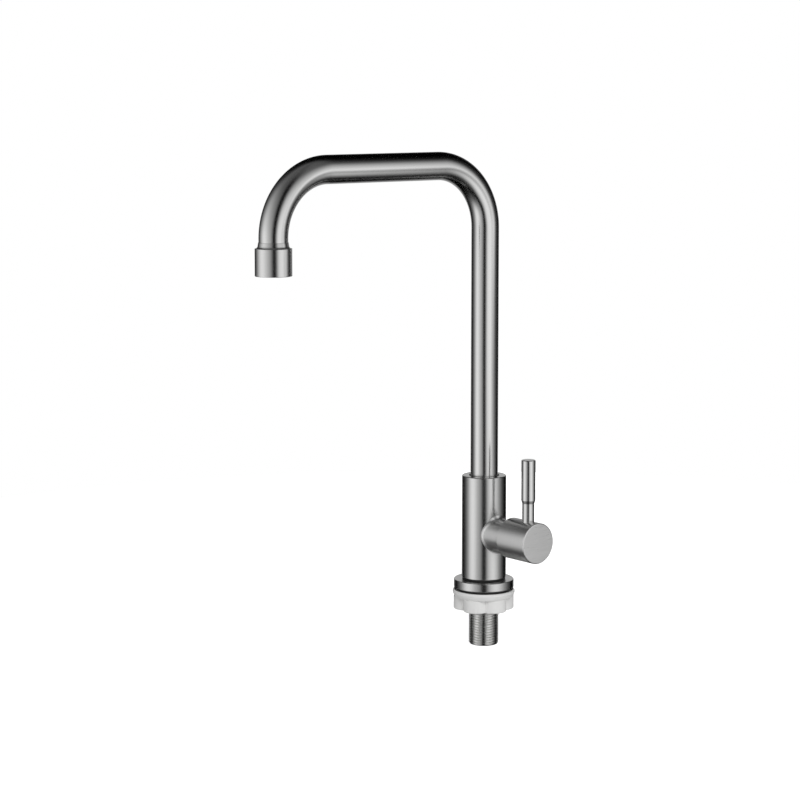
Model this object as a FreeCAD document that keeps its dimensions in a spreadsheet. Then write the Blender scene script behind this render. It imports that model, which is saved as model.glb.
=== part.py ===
"""Gooseneck bar faucet: one cold supply, swivelling spout, quarter-turn side handle.

Frame, in millimetres: the origin is the centre of the deck face, which is the
underside of the base gasket. +Z is up, the spout reaches towards -Y and the
handle stands on the +X side of the body.
"""

import FreeCAD
import Part
import Sketcher
import math
import os

SIZES = {
    # base: what is clamped on the deck
    "gasket_radius": 20.25,
    "gasket_thickness": 1.2,
    "flange_radius": 20.9,
    "flange_thickness": 5.8,
    "flange_edge": 0.6,
    "foot_ring_thickness": 1.4,
    "foot_ring_inset": 0.5,
    "shank_hole_gap": 0.3,
    # threaded shank, G 1/2 parallel thread
    "thread_radius": 10.4775,
    "thread_depth": 1.162,
    "thread_pitch": 1.8143,
    "shank_drop": 39.2,
    "shank_chamfer": 0.88,
    "shank_engagement": 7.0,
    "pilot_radius": 8.6,
    "pilot_length": 7.0,
    "bore_radius": 6.5,
    # body column and its boss
    "column_radius": 15.45,
    "column_height": 71.6,
    "column_edge": 0.7,
    "boss_radius": 11.0,
    "boss_reach": 31.0,
    "boss_blend": 2.8,
    "handle_rise": 33.0,
    "water_wall": 2.0,
    "socket_radius": 10.5,
    "socket_depth": 24.0,
    "chamber_radius": 9.0,
    "chamber_depth": 5.0,
    "inlet_radius": 4.5,
    "inlet_offset": 7.0,
    "passage_radius": 2.7,
    "passage_offset": 5.8,
    # valve in the boss
    "cavity_radius": 9.0,
    "skirt_outer": 8.1,
    "skirt_inner": 7.0,
    "skirt_depth": 14.0,
    "seal_thickness": 2.0,
    "disc_thickness": 2.5,
    "disc_gap": 0.02,
    "disc_slot_depth": 1.5,
    "window_radius": 1.7,
    "window_circle": 4.6,
    "seat_radius": 4.0,
    "side_window": 4.0,
    "valve_hex_flats": 19.0,
    "valve_hex_thickness": 4.0,
    "spindle_radius": 4.0,
    "spindle_reach": 50.0,
    "spindle_flat": 3.2,
    "foot_width": 5.0,
    "foot_thickness": 2.5,
    "collar_radius": 5.5,
    "spindle_seal_wire": 1.1,
    "circlip_radius": 6.0,
    "circlip_thickness": 0.8,
    # handle
    "hub_radius": 14.0,
    "hub_length": 27.0,
    "hub_start": 28.4,
    "hub_front_edge": 0.7,
    "hub_rear_edge": 0.4,
    "hub_bore_radius": 11.4,
    "hub_bore_depth": 9.1,
    "lever_station": 45.2,
    "lever_thread_radius": 3.0,
    "lever_seat": 13.3,
    "lever_neck_radius": 4.15,
    "lever_neck_top": 26.4,
    "lever_taper": 2.2,
    "lever_grip_radius": 4.85,
    "lever_top": 56.3,
    "lever_edge": 0.7,
    # spout
    "tube_radius": 9.5,
    "tube_wall": 1.0,
    "riser_height": 172.0,
    "bend_radius": 43.0,
    "spout_reach": 180.0,
    "leg_length": 12.0,
    "sleeve_height": 12.95,
    "sleeve_spigot": 6.0,
    "thrust_thickness": 1.0,
    "bush_gap": 1.0,
    "bush_length": 8.6,
    "spout_seal_wire": 1.6,
    "retaining_groove": 1.5,
    "retaining_tip_radius": 1.25,
    "retaining_screw_radius": 2.5,
    # aerator
    "aerator_radius": 12.0,
    "aerator_height": 17.7,
    "aerator_neck_height": 3.8,
    "aerator_neck_wall": 0.2,
    "aerator_neck_flare": 0.6,
    "aerator_cove": 1.7,
    "aerator_wall": 1.4,
    "aerator_lip": 1.0,
    "aerator_lip_inset": 1.0,
    "aerator_edge": 0.5,
    "insert_depth": 10.8,
    "aerator_washer_thickness": 1.2,
    "diffuser_thickness": 2.6,
    "screen_thickness": 0.35,
    "screen_hole": 0.9,
    "cage_wall": 0.8,
    "cage_floor": 3.5,
    "cell_radius": 1.75,
    "cell_pitch": 3.7,
    # under-deck fixing
    "washer_radius": 21.75,
    "washer_height": 4.8,
    "washer_top_gap": 0.4,
    "washer_rim": 1.35,
    "washer_dish": 2.2,
    "washer_foot_inset": 1.25,
    "nut_height": 9.05,
    "nut_core_radius": 15.5,
    "lobe_radius": 8.8,
    "lobe_circle": 12.2,
    "lobe_edge": 0.9,
    # clearances
    "running_clearance": 0.05,
    "fit_clearance": 0.05,
    "seal_squeeze": 0.02,
    "nut_clearance": 0.08,
}

THREAD_FLANK = math.radians(27.5)
LOBES = 6
CELL_TURN = 30.0
LOBE_TURN = -37.2 + 30.0
HEX_TO_CORNER = 1 / math.cos(math.radians(30))


class Size:
    """A length together with the sheet formula that gives it."""

    def __init__(self, value, formula):
        self.value = float(value)
        self.formula = str(formula)

    @staticmethod
    def of(other):
        """Turn a plain number into a Size."""
        return other if isinstance(other, Size) else Size(other, repr(float(other)))

    def _with(self, other, value, sign):
        return Size(value, f"({self.formula} {sign} {Size.of(other).formula})")

    def __add__(self, other):
        return self._with(other, self.value + Size.of(other).value, "+")

    def __radd__(self, other):
        return Size.of(other) + self

    def __sub__(self, other):
        return self._with(other, self.value - Size.of(other).value, "-")

    def __rsub__(self, other):
        return Size.of(other) - self

    def __mul__(self, other):
        return self._with(other, self.value * Size.of(other).value, "*")

    def __rmul__(self, other):
        return Size.of(other) * self

    def __truediv__(self, other):
        return self._with(other, self.value / Size.of(other).value, "/")

    def __neg__(self):
        return Size(-self.value, f"(0 - {self.formula})")

    def whole(self):
        """The whole number below this one."""
        return Size(math.floor(self.value), f"floor({self.formula})")


doc = FreeCAD.newDocument("gooseneck_bar_faucet")
sheet = doc.addObject("Spreadsheet::Sheet", "Sizes")
for row, (alias, number) in enumerate(SIZES.items(), start=1):
    sheet.set(f"A{row}", alias)
    sheet.set(f"B{row}", str(number))
    sheet.setAlias(f"B{row}", alias)
doc.recompute()
NODES = []


def size(alias):
    """One driving dimension, by its name in the sheet."""
    return Size(SIZES[alias], f"Sizes.{alias}")


def bind(thing, prop, length):
    """Set a property from a Size and tie it to the sheet."""
    thing.setExpression(prop, Size.of(length).formula)


# --- levels and stations that several pieces share ------------------------------------------

gasket_top = size("gasket_thickness")
flange_top = gasket_top + size("flange_thickness")
column_foot = flange_top + size("foot_ring_thickness")
body_top = column_foot + size("column_height")
handle_level = flange_top + size("handle_rise")
socket_floor = body_top - size("socket_depth")
chamber_floor = socket_floor - size("chamber_depth")
thread_top = flange_top + size("shank_engagement")
pilot_top = thread_top + size("pilot_length")
waterway_top = handle_level - size("cavity_radius") - size("water_wall")
sleeve_foot = socket_floor + size("thrust_thickness") + size("running_clearance")
sleeve_top = sleeve_foot + size("sleeve_height")
bush_foot = sleeve_top + size("bush_gap")
bend_level = body_top + size("riser_height")
run_level = bend_level + size("bend_radius")
tube_end = bend_level - size("leg_length")
insert_floor = tube_end - size("insert_depth")
outlet_level = insert_floor - size("aerator_lip")
washer_top = -size("washer_top_gap")
washer_foot = washer_top - size("washer_height")
nut_top = washer_foot - size("running_clearance")
nut_foot = nut_top - size("nut_height")
disc_seam = size("seal_thickness") + size("disc_thickness")
moving_disc_start = disc_seam + size("disc_gap")
moving_disc_end = moving_disc_start + size("disc_thickness")
hex_end = size("boss_reach") + size("valve_hex_thickness")
hub_end = size("hub_start") + size("hub_length")
hub_bore_end = size("hub_start") + size("hub_bore_depth")
shank_hole = size("thread_radius") + size("shank_hole_gap")
sleeve_radius = size("socket_radius") - size("running_clearance")
seal_middle = sleeve_foot + size("sleeve_height") / 2
spout_seal_offset = size("sleeve_height") / 2 - size("spout_seal_wire") * 1.7
aerator_bore = size("aerator_radius") - size("aerator_wall")
insert_radius = aerator_bore - size("fit_clearance")


# --- helpers that draw constrained sketches and features ------------------------------------


def new_piece(node):
    """A body with the node's name."""
    body = doc.addObject("PartDesign::Body", node)
    body.Label = node
    NODES.append(body)
    return body


def new_sketch(body, plane, lift=None):
    """A sketch on one of the body's own origin planes, raised along its normal by lift."""
    sketch = body.newObject("Sketcher::SketchObject", f"{body.Name}_sketch")
    support = next(f for f in body.Origin.OriginFeatures if f.Role == f"{plane}_Plane")
    sketch.AttachmentSupport = [(support, "")]
    sketch.MapMode = "FlatFace"
    if lift is not None:
        bind(sketch, ".AttachmentOffset.Base.z", lift)
    return sketch


def pin_point(sketch, geometry, end, x, y):
    """Dimension one point of the sketch from its origin, both ways unless x is None."""
    for kind, length in (("DistanceX", x), ("DistanceY", y)):
        if length is None:
            continue
        length = Size.of(length)
        index = sketch.addConstraint(
            Sketcher.Constraint(kind, -1, 1, geometry, end, length.value)
        )
        sketch.setExpression(f"Constraints[{index}]", length.formula)


def draw_outline(sketch, points):
    """A closed outline through the points, each dimensioned from the origin."""
    corners = [FreeCAD.Vector(Size.of(x).value, Size.of(y).value, 0) for x, y in points]
    first = sketch.GeometryCount
    count = len(corners)
    for i in range(count):
        sketch.addGeometry(Part.LineSegment(corners[i], corners[(i + 1) % count]), False)
    for i in range(count):
        joint = ("Coincident", first + i, 2, first + (i + 1) % count, 1)
        sketch.addConstraint(Sketcher.Constraint(*joint))
    for i, (x, y) in enumerate(points):
        pin_point(sketch, first + i, 1, x, y)


def draw_circle(sketch, radius, x=0.0, y=0.0):
    """A circle with its centre and radius dimensioned."""
    radius, centre = Size.of(radius), FreeCAD.Vector(Size.of(x).value, Size.of(y).value, 0)
    circle = Part.Circle(centre, FreeCAD.Vector(0, 0, 1), radius.value)
    index = sketch.addGeometry(circle, False)
    pin_point(sketch, index, 3, x, y)
    ring = sketch.addConstraint(Sketcher.Constraint("Radius", index, radius.value))
    sketch.setExpression(f"Constraints[{ring}]", radius.formula)


def rectangle(x0, y0, x1, y1):
    """The corners of a rectangle, for draw_outline."""
    return [(x0, y0), (x1, y0), (x1, y1), (x0, y1)]


def polygon(radius, sides, x=0.0, y=0.0, turn=0.0):
    """The corners of a regular polygon, for draw_outline."""
    angles = [math.radians(turn + 360.0 * i / sides) for i in range(sides)]
    return [(radius * math.cos(a) + x, radius * math.sin(a) + y) for a in angles]


def turned(node, points, about="V_Axis", at=None):
    """A piece turned on a lathe: an outline in the XZ plane, about Z or about X."""
    body = new_piece(node)
    sketch = new_sketch(body, "XZ")
    draw_outline(sketch, points)
    feature = body.newObject("PartDesign::Revolution", f"{node}_turned")
    feature.Profile = sketch
    feature.ReferenceAxis = (sketch, [about])
    feature.Angle = 360
    place(body, at)
    doc.recompute()
    return body


def place(body, at):
    """Tie the body's position to the sheet: at holds its x, y and z."""
    for letter, length in zip("xyz", at or ()):
        if length is not None:
            bind(body, f".Placement.Base.{letter}", length)


def turned_cut(body, points, about="V_Axis"):
    """A cut turned about Z or X in the XZ plane."""
    sketch = new_sketch(body, "XZ")
    draw_outline(sketch, points)
    feature = body.newObject("PartDesign::Groove", f"{sketch.Name}_cut")
    feature.Profile = sketch
    feature.ReferenceAxis = (sketch, [about])
    feature.Angle = 360
    doc.recompute()
    return feature


def pad(body, sketch, length, reverse=False):
    """Raise the sketch along its normal."""
    feature = body.newObject("PartDesign::Pad", f"{sketch.Name}_pad")
    feature.Profile = sketch
    feature.Reversed = reverse
    bind(feature, "Length", length)
    doc.recompute()
    return feature


def pocket(body, sketch, length, along=False):
    """Cut the sketch into the body, against its normal unless along is set."""
    feature = body.newObject("PartDesign::Pocket", f"{sketch.Name}_pocket")
    feature.Profile = sketch
    feature.Reversed = along
    bind(feature, "Length", length)
    doc.recompute()
    return feature


def repeat_round(body, features, sketch, count, axis="N_Axis"):
    """Repeat features round an axis of the sketch."""
    pattern = body.newObject("PartDesign::PolarPattern", f"{sketch.Name}_round")
    pattern.Originals = features
    pattern.Axis = (sketch, [axis])
    pattern.Angle = 360
    pattern.Occurrences = count
    body.Tip = pattern
    doc.recompute()
    return pattern


def dress(body, kind, prop, length, chosen):
    """Fillet or chamfer the edges of the body's tip that the function chosen picks."""
    base = body.Tip
    names = [f"Edge{i}" for i, edge in enumerate(base.Shape.Edges, start=1) if chosen(edge)]
    if not names:
        raise ValueError(f"{body.Name}: no edge found to {kind.lower()}")
    feature = body.newObject(f"PartDesign::{kind}", f"{body.Name}_{kind.lower()}")
    feature.Base = (base, names)
    bind(feature, prop, length)
    doc.recompute()
    return feature


def is_ring(edge, radius, level, axis="z"):
    """True for a full circle of this radius at this station along the axis."""
    if not isinstance(edge.Curve, Part.Circle):
        return False
    station = getattr(edge.Curve.Center, axis)
    near = abs(station - Size.of(level).value) < 1e-3
    return near and abs(edge.Curve.Radius - Size.of(radius).value) < 1e-3


def seal_ring(node, middle_radius, wire_radius, stations, about="z", at=None):
    """Round-section rubber rings about Z or X, one at each station, as one node."""
    rings = []
    for i, station in enumerate(stations):
        ring = doc.addObject("Part::Torus", f"{node}_{i + 1}")
        bind(ring, "Radius1", middle_radius)
        bind(ring, "Radius2", wire_radius)
        if about == "x":
            ring.Placement.Rotation = FreeCAD.Rotation(FreeCAD.Vector(0, 1, 0), 90)
        bind(ring, ".Placement.Base." + about, station)
        if at is not None:
            bind(ring, ".Placement.Base.z", at)
        rings.append(ring)
    if len(rings) == 1:
        rings[0].Label = node
        NODES.append(rings[0])
        return
    group = doc.addObject("Part::Compound", node)
    group.Label = node
    group.Links = rings
    NODES.append(group)


# --- base and shank -------------------------------------------------------------------------


def make_base_gasket():
    """Flat rubber ring under the flange; its underside is the deck face."""
    outline = rectangle(shank_hole, 0, size("gasket_radius"), gasket_top)
    turned("base_gasket", outline)


def make_base_flange():
    """Round steel flange that carries the body."""
    outline = rectangle(shank_hole, gasket_top, size("flange_radius"), flange_top)
    body = turned("base_flange", outline)
    rim = size("flange_radius")
    dress(body, "Fillet", "Radius", size("flange_edge"), lambda e: is_ring(e, rim, flange_top))


def make_threaded_shank():
    """Hollow shank, threaded outside as evenly spaced rings, with a plain pilot on top."""
    foot = -size("shank_drop")
    crest, bevel = size("thread_radius"), size("shank_chamfer")
    pilot, bore = size("pilot_radius"), size("bore_radius")
    wire = size("spindle_seal_wire")
    groove_foot = thread_top + size("pilot_length") / 2 - wire * 0.7
    groove_top = groove_foot + wire * 1.4
    outline = [
        (bore, foot),
        (crest - bevel, foot),
        (crest, foot + bevel),
        (crest, thread_top),
        (pilot, thread_top),
        (pilot, groove_foot),
        (pilot - wire, groove_foot),
        (pilot - wire, groove_top),
        (pilot, groove_top),
        (pilot, pilot_top),
        (bore, pilot_top),
    ]
    body = turned("threaded_shank", outline)
    flank = size("thread_depth") * math.tan(THREAD_FLANK)
    root = size("thread_pitch") * 0.5 - flank
    start = foot + bevel + flank + root
    over = 0.2
    slope = over * math.tan(THREAD_FLANK)
    ridge = [
        (crest - size("thread_depth"), start - root / 2),
        (crest - size("thread_depth"), start + root / 2),
        (crest + over, start + root / 2 + flank + slope),
        (crest + over, start - root / 2 - flank - slope),
    ]
    cut = turned_cut(body, ridge)
    room = thread_top - start - flank
    turns = (room / size("thread_pitch")).whole()
    pattern = body.newObject("PartDesign::LinearPattern", "threaded_shank_turns")
    pattern.Originals = [cut]
    pattern.Direction = (cut.Profile[0], ["V_Axis"])
    bind(pattern, "Length", turns * size("thread_pitch"))
    bind(pattern, "Occurrences", turns + 1)
    body.Tip = pattern
    doc.recompute()


def make_shank_o_ring():
    """Seal between the shank's pilot and the body."""
    wire = size("spindle_seal_wire") / 2
    middle = size("pilot_radius") - wire
    level = thread_top + size("pilot_length") / 2
    seal_ring("shank_o_ring", middle, wire - size("seal_squeeze") / 2, [level])


# --- body -----------------------------------------------------------------------------------


def make_body_foot_ring():
    """Black rubber ring between the flange and the foot of the body."""
    outer = size("column_radius") - size("foot_ring_inset")
    turned("body_foot_ring", rectangle(shank_hole, flange_top, outer, column_foot))


def is_boss_seam(edge):
    """True for the curve where the boss leaves the column."""
    box = edge.BoundBox
    column, boss = SIZES["column_radius"], SIZES["boss_radius"]
    inside = box.XMin > 0 and box.XMax < column + 0.01
    return inside and box.YLength > 0.9 * boss and box.ZLength > 1.9 * boss


def make_faucet_body():
    """Column with its side boss, drilled for shank, valve, waterways and spout."""
    column, boss = size("column_radius"), size("boss_radius")
    body = turned("faucet_body", rectangle(0, column_foot, column, body_top))
    side = new_sketch(body, "YZ")
    draw_circle(side, boss, 0, handle_level)
    pad(body, side, size("boss_reach"))
    dress(body, "Fillet", "Radius", size("boss_blend"), is_boss_seam)
    dress(body, "Fillet", "Radius", size("column_edge"), lambda e: is_ring(e, column, body_top))

    pilot = size("pilot_radius") + size("fit_clearance")
    thread = size("thread_radius") + size("fit_clearance")
    bore = size("bore_radius")
    turned_cut(body, [
        (0, column_foot), (thread, column_foot), (thread, thread_top), (pilot, thread_top),
        (pilot, pilot_top), (bore, pilot_top), (bore, waterway_top), (0, waterway_top),
    ])
    chamber, socket = size("chamber_radius"), size("socket_radius")
    turned_cut(body, [
        (0, chamber_floor), (chamber, chamber_floor), (chamber, socket_floor),
        (socket, socket_floor), (socket, body_top), (0, body_top),
    ])

    inlet = new_sketch(body, "XY", pilot_top)
    draw_circle(inlet, size("inlet_radius"), -size("inlet_offset"), 0)
    pocket(body, inlet, handle_level + size("inlet_radius") - pilot_top, along=True)
    cavity = new_sketch(body, "YZ")
    draw_circle(cavity, size("cavity_radius"), 0, handle_level)
    pocket(body, cavity, size("boss_reach"), along=True)
    seat = new_sketch(body, "YZ")
    draw_circle(seat, size("seat_radius"), 0, handle_level)
    pocket(body, seat, size("inlet_offset"))
    passage = new_sketch(body, "XY", handle_level + size("cavity_radius") / 2)
    draw_circle(passage, size("passage_radius"), size("passage_offset"), 0)
    rise = chamber_floor - handle_level - size("cavity_radius") / 2
    pocket(body, passage, rise, along=True)
    screw = new_sketch(body, "XZ")
    draw_circle(screw, size("retaining_screw_radius") + size("fit_clearance"), 0, seal_middle)
    pocket(body, screw, column)


def make_spout_retaining_screw():
    """Grub screw behind the body whose tip rides in the sleeve's groove."""
    thread, tip = size("retaining_screw_radius"), size("retaining_tip_radius")
    inner = size("socket_radius") + size("fit_clearance") * 4
    outer = size("column_radius") - size("column_edge")
    groove_floor = sleeve_radius - size("retaining_groove")
    body = new_piece("spout_retaining_screw")
    profile = new_sketch(body, "YZ")
    key, key_floor = tip * 0.9, outer - (outer - inner) * 0.5
    draw_outline(profile, [
        (groove_floor + 0.25, 0), (groove_floor + 0.25, tip), (inner, tip), (inner, thread),
        (outer, thread), (outer, key), (key_floor, key), (key_floor, 0),
    ])
    feature = body.newObject("PartDesign::Revolution", "spout_retaining_screw_turned")
    feature.Profile = profile
    feature.ReferenceAxis = (profile, ["H_Axis"])
    feature.Angle = 360
    place(body, (None, None, seal_middle))
    doc.recompute()


# --- valve in the boss: stations run along X from the body's axis ---------------------------

valve_place = (None, None, handle_level)


def make_valve_seat_seal():
    """Rubber seat between the body's inlet hole and the fixed disc."""
    outer = size("skirt_inner") - size("fit_clearance")
    outline = rectangle(0, size("seat_radius"), size("seal_thickness"), outer)
    turned("valve_seat_seal", outline, "H_Axis", valve_place)


def make_ceramic_disc(node, start, across, slotted):
    """Ceramic disc with two windows, across Z or across Y; the moving one has a drive slot."""
    outer = size("skirt_inner") - size("fit_clearance") * 2
    end = start + size("disc_thickness")
    body = turned(node, rectangle(start, 0, end, outer), "H_Axis", valve_place)
    windows = new_sketch(body, "YZ", start)
    for sign in (-1, 1):
        reach = size("window_circle") * sign
        centre = (reach, 0) if across == "Y" else (0, reach)
        draw_circle(windows, size("window_radius"), *centre)
    pocket(body, windows, size("disc_thickness"), along=True)
    if slotted:
        half = size("foot_width") / 2 + size("fit_clearance")
        slot = new_sketch(body, "YZ", end)
        draw_outline(slot, rectangle(-half, -outer, half, outer))
        pocket(body, slot, size("disc_slot_depth"))


def make_valve_housing():
    """Brass screw-in housing: windowed skirt round the discs, seal groove, hexagon."""
    outer = size("cavity_radius") - size("fit_clearance")
    inner, skirt = size("skirt_inner"), size("skirt_outer")
    depth, bore = size("skirt_depth"), size("spindle_radius") + size("running_clearance")
    wire = size("spindle_seal_wire")
    groove = depth + (size("boss_reach") - depth) / 2
    start = size("seal_thickness") / 3
    body = turned("valve_housing", [
        (start, inner), (start, skirt), (depth, skirt), (depth, outer),
        (groove - wire * 0.7, outer), (groove - wire * 0.7, outer - wire),
        (groove + wire * 0.7, outer - wire), (groove + wire * 0.7, outer),
        (size("boss_reach"), outer), (size("boss_reach"), bore),
        (depth, bore), (depth, inner),
    ], "H_Axis", valve_place)
    head = new_sketch(body, "YZ", size("boss_reach"))
    draw_outline(head, polygon(size("valve_hex_flats") / 2 * HEX_TO_CORNER, 6))
    draw_circle(head, bore)
    pad(body, head, size("valve_hex_thickness"))
    wide, reach = size("side_window"), skirt + 1
    for plane in ("XY", "XZ"):
        window = new_sketch(body, plane, -reach)
        edge = moving_disc_end + size("disc_thickness") / 2
        draw_outline(window, rectangle(edge, -wide, edge + wide, wide))
        pocket(body, window, reach * 2, along=True)


def make_housing_o_ring():
    """Seal between the valve housing and the boss."""
    wire = size("spindle_seal_wire") / 2
    middle = size("cavity_radius") - size("fit_clearance") - wire
    station = size("skirt_depth") + (size("boss_reach") - size("skirt_depth")) / 2
    thin = wire - size("seal_squeeze") / 2
    seal_ring("housing_o_ring", middle, thin, [station], "x", handle_level)


def spindle_seal_stations():
    """Where the two spindle seals sit, either side of the housing's own seal."""
    room = size("boss_reach") - size("skirt_depth")
    return [size("skirt_depth") + room * share for share in (0.3, 0.7)]


def make_valve_spindle():
    """Brass spindle: foot that turns the disc, collar, seal grooves, clip groove, flat."""
    shaft, wire = size("spindle_radius"), size("spindle_seal_wire")
    foot_end = moving_disc_end + size("foot_thickness")
    collar_end = size("skirt_depth") - size("running_clearance") * 2
    points = [(foot_end, 0), (foot_end, size("collar_radius"))]
    points += [(collar_end, size("collar_radius")), (collar_end, shaft)]
    for station in spindle_seal_stations():
        start, end = station - wire * 0.7, station + wire * 0.7
        points += [(start, shaft), (start, shaft - wire), (end, shaft - wire), (end, shaft)]
    clip, end = hex_end + size("running_clearance"), size("spindle_reach")
    clip_end = clip + size("circlip_thickness") + size("fit_clearance") * 4
    neck = shaft - wire / 2
    points += [(clip, shaft), (clip, neck), (clip_end, neck), (clip_end, shaft)]
    points += [(end, shaft), (end, 0)]
    body = turned("valve_spindle", points, "H_Axis", valve_place)
    start = moving_disc_end - size("disc_slot_depth") + size("fit_clearance")
    foot = new_sketch(body, "YZ", start)
    half, reach = size("foot_width") / 2, size("skirt_inner") - size("fit_clearance") * 12
    draw_outline(foot, rectangle(-half, -reach, half, reach))
    pad(body, foot, foot_end - start)
    flat = new_sketch(body, "XZ", -shaft)
    flat_start = hub_bore_end + size("fit_clearance")
    draw_outline(flat, rectangle(flat_start, size("spindle_flat"), end, shaft + 1))
    pocket(body, flat, shaft * 2, along=True)


def make_spindle_o_rings():
    """Two rubber rings that seal the spindle in its housing."""
    wire = size("spindle_seal_wire") / 2
    middle = size("spindle_radius") - wire
    thin = wire - size("seal_squeeze") / 2
    seal_ring("spindle_o_rings", middle, thin, spindle_seal_stations(), "x", handle_level)


def make_spindle_circlip():
    """Open clip outside the housing that keeps the spindle in."""
    neck = size("spindle_radius") - size("spindle_seal_wire") / 2 + size("fit_clearance")
    start = hex_end + size("running_clearance") + size("fit_clearance") * 2
    end = start + size("circlip_thickness")
    outline = rectangle(start, neck, end, size("circlip_radius"))
    body = turned("spindle_circlip", outline, "H_Axis", valve_place)
    gap = new_sketch(body, "YZ", start)
    half = neck * 0.6
    draw_outline(gap, rectangle(-half, -size("circlip_radius") - 1, half, 0))
    pocket(body, gap, size("circlip_thickness"), along=True)


# --- handle ---------------------------------------------------------------------------------


def make_handle_hub():
    """Steel drum over the boss, bored for the spindle and cross-drilled for the lever."""
    outer, start = size("hub_radius"), size("hub_start")
    front, rear = size("hub_front_edge"), size("hub_rear_edge")
    bore = size("spindle_radius") + size("fit_clearance")
    blind = size("spindle_reach") + size("fit_clearance") * 6
    body = turned("handle_hub", [
        (start, size("hub_bore_radius")), (start, outer - rear), (start + rear, outer),
        (hub_end, outer), (hub_end, 0), (blind, 0),
        (blind, bore), (hub_bore_end, bore), (hub_bore_end, size("hub_bore_radius")),
    ], "H_Axis", valve_place)
    dress(body, "Fillet", "Radius", front, lambda e: is_ring(e, outer, hub_end, "x"))
    for radius, floor in (
        (size("lever_thread_radius"), 0),
        (size("lever_neck_radius"), size("lever_seat")),
    ):
        hole = new_sketch(body, "XY", floor)
        draw_circle(hole, radius + size("fit_clearance"), size("lever_station"), 0)
        pocket(body, hole, outer - floor + 1, along=True)


def make_lever_rod():
    """Turned steel lever: threaded end locks on the spindle's flat, slim neck, grip."""
    thread, neck, grip = (
        size(f"lever_{part}_radius") for part in ("thread", "neck", "grip")
    )
    top, edge = size("lever_top"), size("lever_edge")
    tip = size("spindle_flat") + size("fit_clearance")
    taper_end = size("lever_neck_top") + size("lever_taper")
    turned("lever_rod", [
        (0, tip), (thread, tip), (thread, size("lever_seat")), (neck, size("lever_seat")),
        (neck, size("lever_neck_top")), (grip, taper_end), (grip, top - edge),
        (grip - edge, top), (0, top),
    ], "V_Axis", (size("lever_station"), None, handle_level))


# --- spout ----------------------------------------------------------------------------------


def make_spout_tube():
    """One bent tube: riser, bend, level run, bend and short leg, in the YZ plane."""
    body = new_piece("spout_tube")
    bend = size("bend_radius")
    run_end = -(size("spout_reach") - bend)
    path = new_sketch(body, "YZ")
    spine = [
        (0, sleeve_top), (0, bend_level), (-bend, run_level),
        (run_end, run_level), (-size("spout_reach"), bend_level),
        (-size("spout_reach"), tube_end),
    ]
    dots = [FreeCAD.Vector(Size.of(x).value, Size.of(y).value, 0) for x, y in spine]
    path.addGeometry(Part.LineSegment(dots[0], dots[1]), False)
    add_bend(path, -bend, bend_level, 0, 90)
    path.addGeometry(Part.LineSegment(dots[2], dots[3]), False)
    add_bend(path, run_end, bend_level, 90, 180)
    path.addGeometry(Part.LineSegment(dots[4], dots[5]), False)
    for line, first in ((0, 0), (2, 2), (4, 4)):
        pin_point(path, line, 1, *spine[first])
        pin_point(path, line, 2, *spine[first + 1])
    joints = ((0, 2, 1, 1), (1, 2, 2, 1), (2, 2, 3, 1), (3, 2, 4, 1))
    for before, end, after, start in joints:
        path.addConstraint(Sketcher.Constraint("Coincident", before, end, after, start))
    for arc in (1, 3):
        pin_point(path, arc, 3, None, bend_level)
    ring = new_sketch(body, "XY", sleeve_top)
    draw_circle(ring, size("tube_radius"))
    draw_circle(ring, size("tube_radius") - size("tube_wall"))
    pipe = body.newObject("PartDesign::AdditivePipe", "spout_tube_swept")
    pipe.Profile = ring
    pipe.Spine = path
    doc.recompute()


def add_bend(sketch, x, y, start, end):
    """A quarter circle of the spout's bend, from one angle to the other."""
    centre = FreeCAD.Vector(Size.of(x).value, Size.of(y).value, 0)
    circle = Part.Circle(centre, FreeCAD.Vector(0, 0, 1), SIZES["bend_radius"])
    angles = (math.radians(start), math.radians(end))
    sketch.addGeometry(Part.ArcOfCircle(circle, *angles), False)


def make_spout_sleeve():
    """Brass sleeve on the tube's foot: it turns in the body and takes the two seals."""
    outer, wire = sleeve_radius, size("spout_seal_wire")
    spigot = size("tube_radius") - size("tube_wall") - size("fit_clearance")
    slot = size("retaining_tip_radius") + size("running_clearance") * 2
    points = [(size("bore_radius"), sleeve_foot), (outer, sleeve_foot)]
    grooves = (
        (seal_middle - spout_seal_offset, wire * 0.6, wire),
        (seal_middle, slot, size("retaining_groove")),
        (seal_middle + spout_seal_offset, wire * 0.6, wire),
    )
    for level, half, depth in grooves:
        low, high = level - half, level + half
        points += [(outer, low), (outer - depth, low), (outer - depth, high), (outer, high)]
    points += [(outer, sleeve_top), (spigot, sleeve_top)]
    tip = sleeve_top + size("sleeve_spigot")
    points += [(spigot, tip), (size("bore_radius"), tip)]
    turned("spout_sleeve", points)


def make_spout_o_rings():
    """The two seals of the spout sleeve."""
    wire = size("spout_seal_wire") / 2
    middle = sleeve_radius - wire
    thin = wire - size("seal_squeeze") / 2
    for node, sign in (("spout_o_ring_lower", -1), ("spout_o_ring_upper", 1)):
        seal_ring(node, middle, thin, [seal_middle + spout_seal_offset * sign])


def make_thrust_washer():
    """Slippery washer that carries the sleeve on the socket's floor."""
    top = socket_floor + size("thrust_thickness")
    outer = size("socket_radius") - size("fit_clearance")
    turned("thrust_washer", rectangle(size("bore_radius"), socket_floor, outer, top))


def make_swivel_bush():
    """Black bush in the body's mouth that guides the tube."""
    inner = size("tube_radius") + size("running_clearance")
    outer = size("socket_radius") - size("fit_clearance") / 2
    turned("swivel_bush", rectangle(inner, bush_foot, outer, bush_foot + size("bush_length")))


# --- aerator: stations run down the leg's axis ----------------------------------------------

outlet_place = (None, -size("spout_reach"), None)


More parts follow.
